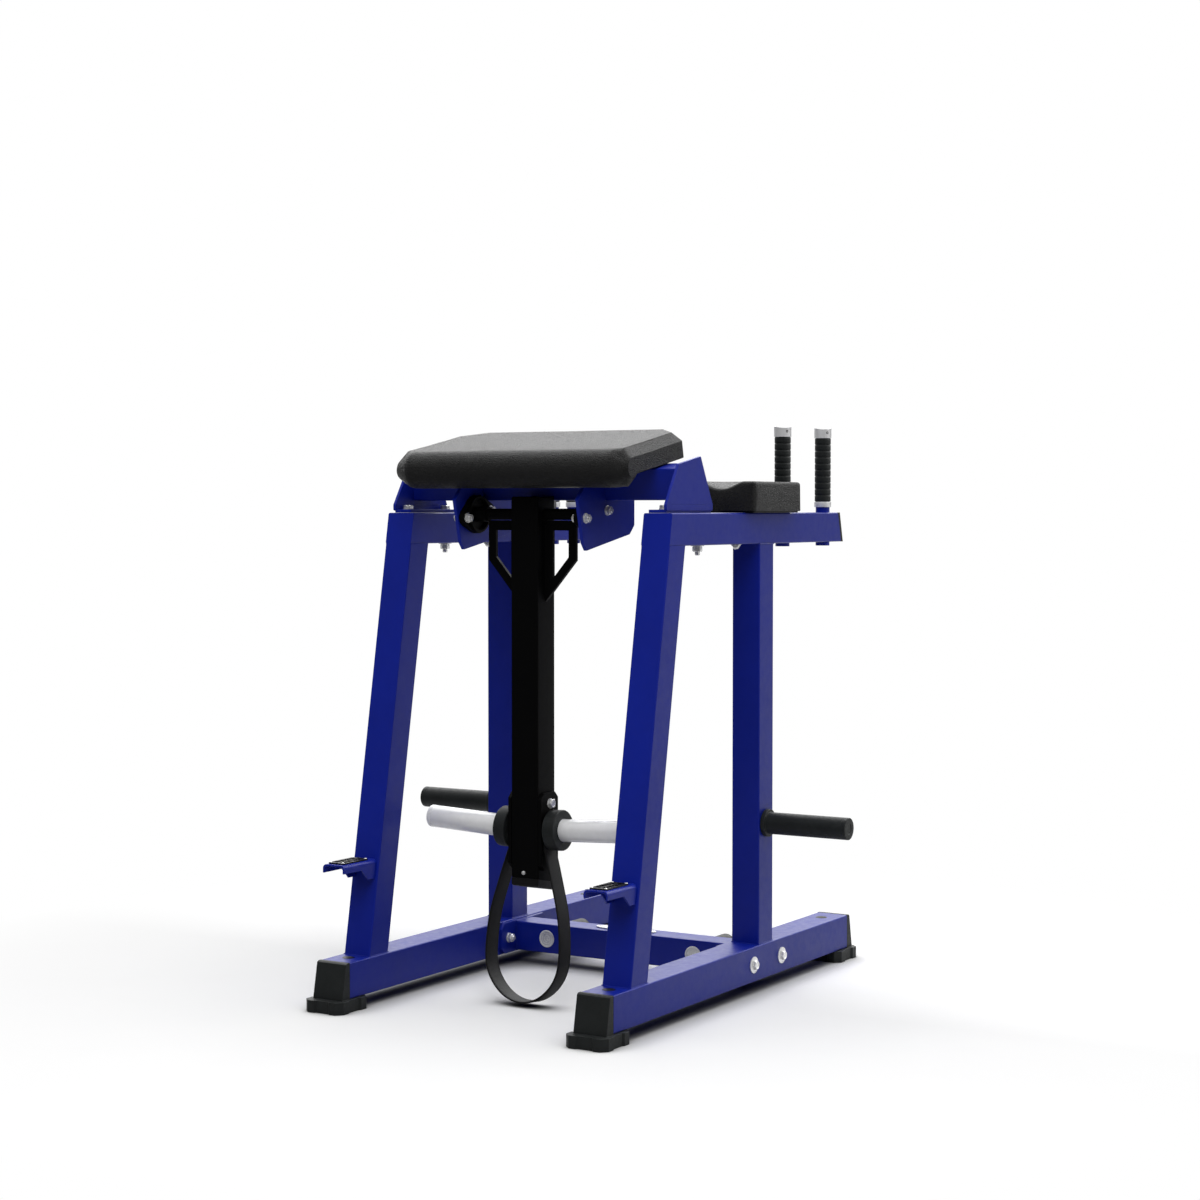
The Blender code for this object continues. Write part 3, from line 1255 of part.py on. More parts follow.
def pad_outline():
    """Plan of the cushion's flat part: its front end lies in the roll, its rear corners are cut."""
    a = PAD_WIDTH / 2
    axis = PAD_ROLL - PAD_FRONT
    rear = PAD_REAR
    c = PAD_CORNER
    b = PAD_BEVEL
    return [(-a, axis), (-a + b, axis - b), (a - b, axis - b), (a, axis),
            (a, rear - c), (a - c, rear), (-a + c, rear), (-a, rear - c)]


def main_pad():
    """Main cushion with its front roll, and the board let into its underside."""
    low = PAD_LIFT
    high = PAD_LIFT + PAD_THICK
    b = PAD_BEVEL
    levels = [(low, PAD_FOLD, 1.0), (low + PAD_FOLD, 0.0, 1.0), (high - b, 0.0, 1.0),
              (high, b, 1.0), (high + PAD_CROWN * 0.6, b, 0.85), (high + PAD_CROWN, b, 0.55)]
    slab = stacked_mesh(pad_outline(), levels)
    a = PAD_WIDTH / 2
    r = PAD_ROLL
    profile = [(0.0, a), (r - b, a), (r, a - b), (r, b - a), (r - b, -a), (0.0, -a)]
    roll = turned_mesh(profile, 40)
    mesh = fused_mesh([(slab, ALONG_Z.copy()),
                       (roll, place(0, r - PAD_FRONT, high - r + ROLL_RISE, ALONG_X))])
    y, z = beam_point(0.0, UPRIGHT_SIZE / 2)
    matrix = tilted(0, y, z, PAD_TILT, ALONG_Z)
    obj = add_part("main_pad_cushion", mesh, "vinyl", matrix)
    board = [(x, y) for x, y in inset_loop(pad_outline(), BOARD_INSET)]
    pocket = [tuple(p) for p in inset_loop(pad_outline(), BOARD_INSET - 2 * CLEAR)]
    pocket_top = BOARD_THICK + 3 * CLEAR
    cut(obj, outline_mesh([pocket], 2 * pocket_top), matrix)
    mid = CLEAR + BOARD_THICK / 2
    add_part("main_pad_board", outline_mesh([board], BOARD_THICK), "board",
             matrix @ Matrix.Translation((0, 0, mid)))


def elbow_pad(side, sign):
    """Elbow cushion with a scooped front end and a slanting inner side, on a thin base."""
    half = ELBOW_LENGTH / 2
    corners = [(-ELBOW_IN, -half), (ELBOW_OUT, -half), (ELBOW_OUT, half),
               (-ELBOW_REAR_IN, half), (-ELBOW_IN, half - ELBOW_SLANT)]
    if sign < 0:
        corners = [(-x, y) for x, y in reversed(corners)]
    loop = rounded_loop(corners, ELBOW_EDGE * 1.3, 2)
    high = ELBOW_HEIGHT
    e = ELBOW_EDGE
    base = ELBOW_BASE_INSET
    levels = [(CLEAR, base, 1.0), (ELBOW_LIFT, base, 1.0), (ELBOW_LIFT + 0.0005, 0.002, 1.0),
              (ELBOW_LIFT + 0.004, 0.0, 1.0), (high - e, 0.0, 1.0),
              (high - e * 0.4, e * 0.3, 1.0), (high, e, 1.0), (high + 0.001, e, 0.75)]
    mesh = stacked_mesh(loop, levels)
    z = TOP_HEIGHT
    obj = add_part("elbow_cushion_" + side, mesh, "vinyl",
                   place(sign * SIDE_X, ELBOW_Y, z))
    radius = (SCOOP_WIDTH ** 2 / 4 + SCOOP_DEPTH ** 2) / (2 * SCOOP_DEPTH)
    slope = math.atan2(SCOOP_DEPTH, SCOOP_LENGTH)
    front = ELBOW_Y - ELBOW_LENGTH / 2
    centre = high - SCOOP_DEPTH + radius
    matrix = (Matrix.Translation((sign * (SIDE_X - SCOOP_INWARD), front, z + centre))
              @ Matrix.Rotation(slope, 4, "X") @ ALONG_Y)
    cut(obj, cylinder_mesh(radius, 4 * SCOOP_LENGTH, 40), matrix)


# Assembly

def empty_at(name, y, z, parent=None):
    """Empty on a joint's axis."""
    empty = bpy.data.objects.new(name, None)
    empty.empty_display_size = 0.05
    empty.location = (0.0, y, z)
    parts.objects.link(empty)
    if parent is not None:
        empty.parent = parent
        empty.matrix_parent_inverse = Matrix.Translation(-parent.location)
    return empty


def build():
    """Make every piece."""
    for side, sign in (("left", -1), ("right", 1)):
        base_tube("base_tube_" + side, sign)
        front_upright("front_upright_" + side, sign)
        rear_upright("rear_upright_" + side, sign)
        top_tube("top_tube_" + side, sign)
        pad_bracket("pad_bracket_" + side, sign)
        pivot_plate("pivot_plate_" + side, sign)
        bearing_housing("bearing_housing_" + side, sign)
        elbow_pad(side, sign)
    cross_tube()
    flange_bolts()
    band_pegs()
    storage_pegs()
    foot_steps()
    end_feet()
    top_caps()
    pad_beam()
    main_pad()
    handles()
    pendulum = empty_at("pendulum_axis", PIVOT_Y, PIVOT_Z)
    pivot_shaft(pendulum)
    pendulum_arm(pendulum)
    arm_cap(pendulum)
    carriage_plates(pendulum)
    carriage_bolt(pendulum)
    sleeves(pendulum)
    strap = empty_at("strap_axis", PIVOT_Y, SLEEVE_AXIS_Z, pendulum)
    ankle_strap(strap)


build()
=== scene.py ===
"""Looks of a reverse hyperextension machine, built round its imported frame."""

import math

import bmesh
import bpy
import numpy as np
from mathutils import Matrix, Vector
from mathutils.kdtree import KDTree

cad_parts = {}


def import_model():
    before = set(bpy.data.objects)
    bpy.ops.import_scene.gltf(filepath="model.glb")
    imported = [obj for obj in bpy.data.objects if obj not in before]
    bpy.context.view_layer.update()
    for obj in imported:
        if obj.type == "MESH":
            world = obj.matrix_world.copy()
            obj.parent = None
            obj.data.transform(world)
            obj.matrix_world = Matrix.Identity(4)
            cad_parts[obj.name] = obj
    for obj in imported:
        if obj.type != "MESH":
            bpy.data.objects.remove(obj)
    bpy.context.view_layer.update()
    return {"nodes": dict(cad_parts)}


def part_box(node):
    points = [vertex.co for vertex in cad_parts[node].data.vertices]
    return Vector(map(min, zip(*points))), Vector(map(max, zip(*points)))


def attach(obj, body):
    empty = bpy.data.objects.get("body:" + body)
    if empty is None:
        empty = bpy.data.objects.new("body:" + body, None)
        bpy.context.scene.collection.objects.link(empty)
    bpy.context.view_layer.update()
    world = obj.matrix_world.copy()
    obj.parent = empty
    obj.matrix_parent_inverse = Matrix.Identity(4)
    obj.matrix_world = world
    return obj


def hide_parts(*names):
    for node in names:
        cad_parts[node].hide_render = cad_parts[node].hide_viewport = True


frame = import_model()
nodes = frame["nodes"]

# Sizes of the frame that the pieces here sit on, in metres
SIDE_X = 0.335
BASE_TOP = 0.1073
BASE_MID_Z = 0.0673
TOP_HEIGHT = 1.0887
TOP_TUBE_BOTTOM = 1.0187
CROSS_Y = 0.1355
PIVOT = Vector((0.0, -0.271, 1.0858))
AXLE_Z = 0.390
PAD_TILT = math.radians(10.5)
BEAM = Vector((0.0, -0.2025, 1.1562))
SLEEVE_KNEE = 0.05006
SLEEVE_TILT = math.radians(2.75)
TUBE_CORNER = 0.0034
UPRIGHT_DEPTH = 0.070
UPRIGHT_LEAN = math.radians(10.0)
CROSS_HALF = 0.035
CROSS_Z = 0.067
FLANGE_X = 0.2862
BASE_SIDE_X = 0.375
BEAM_HALF = 0.035
POST_BORE = 0.0171

# The pegs, bolts and strap that sit on it
BAND_X = 0.200
FLANGE_BOLT_APART = 0.0695
FLANGE_BOLT_GRIP = 0.0883
ARM_SIDE_X = 0.0433
BEARING_BOLT_APART = 0.046
BRACKET_BOLT_Z = 1.0960
CARRIAGE_BOLT_Z = 0.449
STRAP_HALF = 0.024
STRAP_THICK = 0.002
STRAP_TOP_X = 0.0436 + STRAP_THICK
STRAP_START = -0.045
STRAP_DROP = 0.382
STRAP_BULGE = 0.0955
STRAP_LEAN = math.radians(4.9)

# The main pad's front roll, in the pad's own frame
PAD_HALF = 0.300
PAD_EDGE = 0.020
ROLL_Y = -0.1375
ROLL_Z = 0.0185
ROLL_RADIUS = 0.0415
ROLL_TAPER_FROM = 0.2600
ROLL_END = 0.0195

# The elbow pads, about the top tube's middle
ELBOW_OUT = 0.059
ELBOW_IN = 0.118
ELBOW_REAR_IN = 0.059
ELBOW_SLANT = 0.115
ELBOW_LENGTH = 0.236
ELBOW_ROUND = 0.0095
ELBOW_RIM = 0.0070
ELBOW_BASE = 0.0035
SCOOP_WIDTH = 0.1060
SCOOP_DEPTH = 0.0165
SCOOP_LENGTH = 0.105
SCOOP_IN = 0.0293

# Fasteners, seams, cloth and camera
WASHER_THICK = 0.0025
SEAM_PROUD = 0.00008
CLOTH_STEPS = 20
HOLD_FADE = 0.020
CAMERA_LENS = 70.74
CAMERA_SPOT = (2.8133, -4.6462, 1.1000)
CAMERA_DIP = 0.0391
CAMERA_TURN = 0.5430

SIDES = (("left", -1), ("right", 1))
TO_X = Matrix.Rotation(math.pi / 2, 4, "Y")
TO_FRONT = Matrix.Rotation(math.pi / 2, 4, "X")
UPSIDE_DOWN = Matrix.Rotation(math.pi, 4, "X")


# Shader helpers

def start(name, color, roughness, metallic=0.0, specular=0.5):
    """A new Principled material, its tree, its shader and the object coordinates."""
    mat = bpy.data.materials.new(name)
    mat.use_nodes = True
    tree = mat.node_tree
    shader = tree.nodes["Principled BSDF"]
    shader.inputs["Base Color"].default_value = (*color, 1.0)
    shader.inputs["Roughness"].default_value = roughness
    shader.inputs["Metallic"].default_value = metallic
    shader.inputs["Specular IOR Level"].default_value = specular
    return mat, tree, shader, tree.nodes.new("ShaderNodeTexCoord").outputs["Object"]


def node_of(tree, kind, inputs, operation=None):
    """A new shader node, each input set to a constant or linked to an output."""
    node = tree.nodes.new("ShaderNode" + kind)
    if operation is not None:
        node.operation = operation
    for key, value in inputs.items():
        if isinstance(value, bpy.types.NodeSocket):
            tree.links.new(value, node.inputs[key])
        else:
            node.inputs[key].default_value = value
    return node


def split_of(tree, vector):
    """X, Y and Z of a vector, by name."""
    return node_of(tree, "SeparateXYZ", {"Vector": vector}).outputs


def noise_of(tree, vector, scale, detail=2.0, rough=0.5, stretch=None):
    """Noise on object coordinates, in metres, drawn out along an axis if asked."""
    if stretch is not None:
        mapping = node_of(tree, "Mapping", {"Vector": vector, "Scale": stretch})
        vector = mapping.outputs["Vector"]
    tex = node_of(tree, "TexNoise", {"Vector": vector, "Scale": scale, "Detail": detail,
                                     "Roughness": rough})
    return tex.outputs["Fac"]


def spread(tree, value, low, high, to_low, to_high):
    """Map a value from one range to another."""
    node = node_of(tree, "MapRange", {"Value": value, "From Min": low, "From Max": high,
                                      "To Min": to_low, "To Max": to_high})
    return node.outputs["Result"]


def math_of(tree, operation, a, b=0.0):
    """One Math node on numbers or outputs."""
    return node_of(tree, "Math", {0: a, 1: b}, operation).outputs[0]


def tint(tree, shader, fac, color, dark, light):
    """Blend a darker and a lighter shade of the colour into the base colour."""
    mix = tree.nodes.new("ShaderNodeMix")
    mix.data_type = "RGBA"
    tree.links.new(fac, mix.inputs["Factor"])
    mix.inputs["A"].default_value = (*[channel * dark for channel in color], 1.0)
    mix.inputs["B"].default_value = (*[channel * light for channel in color], 1.0)
    tree.links.new(mix.outputs["Result"], shader.inputs["Base Color"])


def bump(tree, shader, height, distance, strength, before=None):
    """Add a bump to the shader's normal, after an earlier one if given."""
    node = node_of(tree, "Bump", {"Distance": distance, "Strength": strength,
                                  "Height": height})
    if before is not None:
        tree.links.new(before, node.inputs["Normal"])
    tree.links.new(node.outputs["Normal"], shader.inputs["Normal"])
    return node.outputs["Normal"]


def uneven(tree, shader, fac, low, high):
    """Let the roughness vary with a noise."""
    tree.links.new(spread(tree, fac, 0.3, 0.7, low, high), shader.inputs["Roughness"])


# Materials

def powder_coat(name, color, roughness, specular):
    """Baked powder coat: faint orange peel, slightly uneven gloss and tone."""
    mat, tree, shader, where = start(name, color, roughness, 0.0, specular)
    broad = noise_of(tree, where, 7.0, 4.0, 0.6)
    tint(tree, shader, spread(tree, broad, 0.3, 0.7, 0.0, 1.0), color, 0.93, 1.07)
    rubbed = noise_of(tree, where, 55.0, 6.0, 0.65)
    uneven(tree, shader, rubbed, roughness - 0.05, roughness + 0.07)
    bump(tree, shader, noise_of(tree, where, 620.0), 0.0002, 0.22)
    return mat


def moulded(name, color, roughness, specular, grain, depth):
    """Moulded rubber or plastic with a fine sparked texture and handling marks."""
    mat, tree, shader, where = start(name, color, roughness, 0.0, specular)
    dust = noise_of(tree, where, 18.0, 6.0, 0.7)
    tint(tree, shader, spread(tree, dust, 0.35, 0.75, 0.0, 1.0), color, 0.85, 1.25)
    marks = noise_of(tree, where, 120.0, 4.0, 0.6)
    uneven(tree, shader, marks, roughness - 0.08, roughness + 0.08)
    bump(tree, shader, noise_of(tree, where, grain, 3.0, 0.6), depth, 0.35)
    return mat


def grained_vinyl(name, color):
    """Upholstery vinyl: pebbled grain with fine creases between the pebbles, painted darker as
    shade.
    """
    mat, tree, shader, where = start(name, color, 0.30, 0.0, 0.12)
    warp = node_of(tree, "TexNoise", {"Vector": where, "Scale": 160.0, "Detail": 2.0})
    shift = node_of(tree, "VectorMath", {0: warp.outputs["Color"], 1: (0.0035, 0.0035, 0.0035),
                                         2: where}, "MULTIPLY_ADD")
    pebbles = node_of(tree, "TexVoronoi", {"Vector": shift.outputs["Vector"], "Scale": 260.0})
    pebbles.feature = "DISTANCE_TO_EDGE"
    domes = spread(tree, pebbles.outputs["Distance"], 0.0, 0.32, 0.0, 1.0)
    micro = noise_of(tree, where, 1500.0, 3.0, 0.6)
    first = bump(tree, shader, domes, 0.0014, 0.90)
    bump(tree, shader, micro, 0.0001, 0.30, first)
    broad = noise_of(tree, where, 9.0, 4.0, 0.6)
    # Random tone, times painted shade that darkens the creases between the pebbles
    tone = math_of(tree, "MULTIPLY", spread(tree, broad, 0.3, 0.7, 0.6, 1.0), domes)
    tint(tree, shader, tone, color, 0.70, 1.12)
    tree.links.new(spread(tree, domes, 0.0, 1.0, 0.42, 0.26), shader.inputs["Roughness"])
    return mat


def turned_metal(name, color, low, high, stretch, depth, metallic):
    """Bare or plated metal with fine machining lines and soft smears."""
    mat, tree, shader, where = start(name, color, (low + high) / 2, metallic)
    lines = noise_of(tree, where, 30.0, 4.0, 0.6, stretch)
    smears = noise_of(tree, where, 40.0, 5.0, 0.6)
    uneven(tree, shader, smears, low, high)
    tint(tree, shader, spread(tree, smears, 0.3, 0.75, 0.0, 1.0), color, 0.90, 1.0)
    bump(tree, shader, lines, depth, 0.25)
    return mat


def webbing(name, color):
    """Woven strap on its UV map, in metres: u across, v along."""
    mat, tree, shader, where = start(name, color, 0.55, 0.0, 0.16)
    split = split_of(tree, where.node.outputs["UV"])
    u = split["X"]
    v = split["Y"]
    ribs = math_of(tree, "SINE", math_of(tree, "MULTIPLY", u, 2 * math.pi / 0.0016))
    slant = math_of(tree, "ADD", math_of(tree, "MULTIPLY", v, 2 * math.pi / 0.0022),
                    math_of(tree, "MULTIPLY", u, 2 * math.pi / 0.0032))
    picks = math_of(tree, "SINE", slant)
    weave = math_of(tree, "MULTIPLY", ribs, picks)
    height = spread(tree, weave, -1.0, 1.0, 0.0, 1.0)
    bump(tree, shader, height, 0.0003, 0.35)
    worn = noise_of(tree, where, 25.0, 5.0, 0.65)
    # Random wear, times painted shade that darkens the hollows of the weave and lightens its
    # raised threads
    tone = math_of(tree, "MULTIPLY", height, spread(tree, worn, 0.3, 0.7, 0.5, 1.0))
    tint(tree, shader, tone, color, 0.75, 1.30)
    return mat


def plywood(name, color):
    """Sanded board with long grain along X."""
    mat, tree, shader, where = start(name, color, 0.6, 0.0, 0.3)
    grain = noise_of(tree, where, 14.0, 6.0, 0.6, (0.5, 9.0, 9.0))
    tint(tree, shader, spread(tree, grain, 0.3, 0.7, 0.0, 1.0), color, 0.65, 1.15)
    bump(tree, shader, grain, 0.0003, 0.3)
    return mat


BLUE = powder_coat("look_blue_coat", (0.0028, 0.0135, 0.268), 0.40, 0.30)
BLACK = powder_coat("look_black_coat", (0.0028, 0.0028, 0.0029), 0.46, 0.045)
RUBBER = moulded("look_rubber", (0.0130, 0.0150, 0.0152), 0.55, 0.26, 900.0, 0.0002)
PLASTIC = moulded("look_plastic", (0.0075, 0.0075, 0.0077), 0.48, 0.18, 700.0, 0.0002)
VINYL = grained_vinyl("look_vinyl", (0.0190, 0.0190, 0.0192))
BOARD = plywood("look_board", (0.330, 0.210, 0.110))
ZINC = turned_metal("look_zinc", (0.94, 0.94, 0.93), 0.14, 0.24, (1.0, 1.0, 1.0), 0.0001, 0.60)
CHROME = turned_metal("look_chrome", (0.97, 0.97, 0.98), 0.12, 0.20, (60.0, 0.6, 0.6),
                      0.00002, 0.10)
ALUMINIUM = turned_metal("look_aluminium", (0.86, 0.86, 0.87), 0.26, 0.38,
                         (0.6, 0.6, 60.0), 0.00005, 0.35)
STRAP = webbing("look_strap", (0.0085, 0.0085, 0.0088))

LOOK_OF = {"blue_powder_coat": BLUE, "black_steel": BLACK, "black_rubber": RUBBER,
           "black_plastic": PLASTIC, "grained_vinyl": VINYL, "pad_board": BOARD,
           "zinc_steel": ZINC, "chrome": CHROME, "aluminium": ALUMINIUM,
           "black_webbing": STRAP}


# Mesh helpers

def moved(x, y, z):
    """Move to a point."""
    return Matrix.Translation((x, y, z))


def object_of(name, work):
    """A linked object from a bmesh, which is freed."""
    mesh = bpy.data.meshes.new(name)
    work.to_mesh(mesh)
    work.free()
    obj = bpy.data.objects.new(name, mesh)
    bpy.context.scene.collection.objects.link(obj)
    return obj


def piece(name, work, mat, body, matrix=None, smooth=40.0, node=None):
    """Turn a bmesh into a piece that rides on a body, in place of a CAD node if named."""
    bmesh.ops.recalc_face_normals(work, faces=work.faces)
    obj = object_of(name, work)
    mesh = obj.data
    mesh.materials.append(mat)
    mesh.shade_smooth()
    mesh.set_sharp_from_angle(angle=math.radians(smooth))
    if matrix is not None:
        obj.matrix_world = matrix
    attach(obj, body)
    if node is not None:
        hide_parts(node)


def ring_of(work, points):
    """Vertices at the points."""
    return [work.verts.new(p) for p in points]


def bridge(work, low, high):
    """Faces between two closed rings; a ring of one vertex makes a fan."""
    total = max(len(low), len(high))
    if total == 1:
        return
    for i in range(total):
        k = (i + 1) % total
        if len(low) == 1:
            work.faces.new((low[0], high[k], high[i]))
        elif len(high) == 1:
            work.faces.new((low[i], low[k], high[0]))
        else:
            work.faces.new((low[i], low[k], high[k], high[i]))


def middle_of(name):
    """Middle and size of a node's box."""
    low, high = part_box(name)
    return (low + high) / 2, high - low


def loft(work, rings, capped=True):
    """Faces between neighbouring rings, and over both ends if asked."""
    for low, high in zip(rings, rings[1:]):
        bridge(work, low, high)
    if capped:
        work.faces.new(list(reversed(rings[0])))
        work.faces.new(rings[-1])


def circle(radius, height, count):
    """Evenly spaced points about Z."""
    angles = [2 * math.pi * i / count for i in range(count)]
    return [(radius * math.cos(a), radius * math.sin(a), height) for a in angles]


def turned(profile, count=48, reach=None, work=None, lift=0.0):
    """Turn (radius, height) points about Z; reach(angle) trims the radius."""
    work = work or bmesh.new()
    rings = []
    for radius, height in profile:
        if radius < 1e-7:
            rings.append(ring_of(work, [(0.0, 0.0, height + lift)]))
            continue
        points = []
        for i in range(count):
            a = 2 * math.pi * i / count
            r = radius if reach is None else min(radius, reach(a))
            points.append((r * math.cos(a), r * math.sin(a), height + lift))
        rings.append(ring_of(work, points))
    loft(work, rings, False)
    return work


def hexagon(across):
    """Distance from the axis to a hexagon's side, by angle."""
    def reach(angle):
        part = (angle + math.pi / 6) % (math.pi / 3) - math.pi / 6
        return across / 2 / math.cos(part)
    return reach


def rounded(profile, edge, steps=3):
    """Round the corners of an open (radius, height) profile by a small radius."""
    out = [profile[0]]
    for before, here, after in zip(profile, profile[1:], profile[2:]):
        a = Vector(before) - Vector(here)
        b = Vector(after) - Vector(here)
        cut = min(edge, a.length * 0.45, b.length * 0.45)
        p = Vector(here) + a.normalized() * cut
        q = Vector(here) + b.normalized() * cut
        for k in range(steps + 1):
            t = k / steps
            out.append(tuple(p * (1 - t) ** 2 + Vector(here) * 2 * t * (1 - t) + q * t * t))
    out.append(profile[-1])
    return out


def washer(work, outer, inner, thick, lift):
    """Flat washer from lift up."""
    turned(rounded([(inner, 0.0), (outer, 0.0), (outer, thick), (inner, thick)], 0.0004, 2),
           40, None, work, lift)


def hex_head(work, across, height, lift):
    """Hexagon head with a turned chamfer and a shallow dish on top."""
    rim = across / 2 * 0.94
    profile = [(0, 0), (across / math.sqrt(3), 0), (across / math.sqrt(3), height - 0.0016),
               (rim, height), (rim * 0.80, height), (rim * 0.74, height - 0.0005),
               (0, height - 0.0005)]
    turned(profile, 60, hexagon(across), work, lift)


def hex_nut(work, across, height, lift):
    """Nut with both rims chamfered."""
    corner = across / math.sqrt(3)
    rim = across / 2 * 0.94
    profile = [(0, 0), (rim, 0), (corner, 0.0013), (corner, height - 0.0013),
               (rim, height), (rim * 0.62, height), (rim * 0.60, height - 0.0006),
               (0, height - 0.0006)]
    turned(profile, 60, hexagon(across), work, lift)


def thread_end(work, radius, length, lift):
    """Threaded end that stands past its nut."""
    pitch = 0.00175
    profile = [(radius * 0.84, 0)]
    height = 0.0
    while height + pitch < length - 0.0008:
        profile += [(radius, height + pitch * 0.4), (radius, height + pitch * 0.55),
                    (radius * 0.84, height + pitch)]
        height += pitch
    profile += [(radius * 0.80, length), (0, length)]
    turned(profile, 24, None, work, lift)


def fastener(name, body, matrix, grip, wide, across=0.019, nut=True, radius=0.006,
             head=0.0075, low_wide=None, nut_height=0.0100, tail=0.0040, node=None):
    """Hex bolt along Z, head from z = 0 up, with washers, nut and thread below."""
    work = bmesh.new()
    washer(work, wide / 2, radius + 0.0004, WASHER_THICK, 0.0)
    hex_head(work, across, head, WASHER_THICK)
    if nut:
        low = bmesh.new()
        washer(low, (low_wide or wide) / 2, radius + 0.0004, WASHER_THICK, 0.0)
        hex_nut(low, across, nut_height, WASHER_THICK)
        thread_end(low, radius, tail, WASHER_THICK + nut_height)
        low.transform(moved(0, 0, -grip) @ UPSIDE_DOWN)
        mesh = bpy.data.meshes.new("low")
        low.to_mesh(mesh)
        low.free()
        work.from_mesh(mesh)
        bpy.data.meshes.remove(mesh)
        turned([(radius, -0.0005), (radius, -grip + 0.0005)], 16, None, work)
    piece(name, work, ZINC, body, matrix, 30.0, node)


def tube_along(work, points, radius_at, sides=6):
    """Tube through points, its radius given by distance along it."""
    run = 0.0
    rings = []
    for i, point in enumerate(points):
        ahead = points[min(i + 1, len(points) - 1)] - points[max(i - 1, 0)]
        ahead.normalize()
        side = ahead.orthogonal().normalized()
        other = ahead.cross(side)
        r = radius_at(run)
        rings.append(ring_of(work, [point + (side * math.cos(2 * math.pi * k / sides)
                                             + other * math.sin(2 * math.pi * k / sides)) * r
                                    for k in range(sides)]))
        if i + 1 < len(points):
            run += (points[i + 1] - point).length
    loft(work, rings)


def weld_run(work, a, b, radius=0.0019, step=0.0011):
    """Rippled bead along a straight corner."""
    a = Vector(a)
    b = Vector(b)
    count = max(2, int((b - a).length / step))
    points = [a.lerp(b, i / count) for i in range(count + 1)]
    tube_along(work, points, lambda s: radius * (0.90 + 0.16 * abs(math.sin(s * 950.0))))


def weld_loop(work, corners, radius=0.0019):
    """Bead round a closed outline."""
    for a, b in zip(corners, corners[1:] + corners[:1]):
        weld_run(work, a, b, radius)


# CAD nodes that stay: finer edges and their own materials

def dress(name, edge, segments=2):
    """Round the edges of a kept node by modifiers and give it its material."""
    obj = nodes[name]
    mesh = obj.data
    for attribute in ("custom_normal", "sharp_edge", "sharp_face"):
        if attribute in mesh.attributes:
            mesh.attributes.remove(mesh.attributes[attribute])
    weld = obj.modifiers.new("weld", "WELD")
    weld.merge_threshold = 0.00002
    bevel = obj.modifiers.new("edges", "BEVEL")
    bevel.width = edge
    bevel.segments = segments
    bevel.limit_method = "ANGLE"
    bevel.angle_limit = math.radians(38)
    tidy = obj.modifiers.new("normals", "WEIGHTED_NORMAL")
    tidy.keep_sharp = True
    tidy.weight = 60
    for slot in obj.material_slots:
        slot.material = LOOK_OF[slot.material.name.split(".")[0]]
    mesh.shade_smooth()


EDGE_OF = {"base_tube": 0.0008, "front_upright": 0.0008, "rear_upright": 0.0008,
           "top_tube": 0.0006, "base_cross_tube": 0.0006, "pad_beam": 0.0008,
           "pad_bracket": 0.0010, "pivot_plate": 0.0006, "pendulum_arm": 0.0006,
           "carriage_plate": 0.0006, "foot_step": 0.0005, "step_tread": 0.0003,
           "end_foot": 0.0007, "top_tube_cap": 0.0006, "arm_bottom_cap": 0.0008,
           "bearing_housing": 0.0008, "pivot_shaft": 0.0004, "sleeve_axle": 0.0006,
           "main_pad_board": 0.0010}


def edge_for(name):
    """Edge size by the longest key that the node's name starts with."""
    keys = [key for key in EDGE_OF if name.startswith(key)]
    return EDGE_OF[max(keys, key=len)] if keys else 0.0004


for node_name in sorted(nodes):
    dress(node_name, edge_for(node_name))


# Bolts that the frame already has, made finer

def flange_bolts():
    """Four bolts through base tubes and flanges."""
    for side, sign in SIDES:
        turn = Matrix.Rotation(sign * math.pi / 2, 4, "Y")
        for end, to_rear in (("front", -1), ("rear", 1)):
            spot = moved(sign * BASE_SIDE_X, CROSS_Y + to_rear * FLANGE_BOLT_APART, BASE_MID_Z)
            fastener(f"flange_bolt_set_{end}_{side}", "frame", spot @ turn, FLANGE_BOLT_GRIP,
                     0.038, low_wide=0.024, node=f"flange_bolt_{end}_{side}")


def carriage_bolt():
    """Bolt through the carriage plates and the arm."""
    spot = moved(ARM_SIDE_X, PIVOT.y, CARRIAGE_BOLT_Z) @ TO_X
    fastener("carriage_bolt_set", "pendulum", spot, 2 * ARM_SIDE_X, 0.022, node="carriage_bolt")


def band_discs():
    """Turned discs, faintly ringed, with a small centre screw."""
    profile = [(0, 0.0028), (0.0022, 0.0026), (0.0028, 0.0012), (0.0060, 0.0010),
               (0.0066, 0.0018), (0.0076, 0.0018), (0.0082, 0.0010), (0.0118, 0.0008),
               (0.0124, 0.0017), (0.0136, 0.0017), (0.0142, 0.0009), (0.0163, 0.0008),
               (0.0180, 0.0028), (0.0195, 0.0030), (0.0205, 0.0022), (0.0205, 0),
               (0, 0)]
    for side, sign in SIDES:
        spot = moved(sign * BAND_X, CROSS_Y - CROSS_HALF - 0.0003, CROSS_Z) @ TO_FRONT
        piece(f"band_peg_disc_{side}", turned(profile, 56), ALUMINIUM, "frame", spot, 25,
              f"band_peg_bolt_{side}")


flange_bolts()
carriage_bolt()
band_discs()


# Small pieces that have no node

def hole_plugs():
    """Domed plastic plugs in the top faces of the base tubes."""
    profile = [(0, 0.0021), (0.0050, 0.0020), (0.0095, 0.0015), (0.0125, 0.0009),
               (0.0140, 0.0002), (0.0140, -0.0004), (0.0110, -0.0004), (0.0110, -0.0050),
               (0, -0.0050)]
    for side, sign in SIDES:
        for end, y in (("front", -0.5045), ("rear", 0.4995)):
            piece(f"hole_plug_{end}_{side}", turned(profile, 40), PLASTIC, "frame",
                  moved(sign * SIDE_X, y, BASE_TOP))


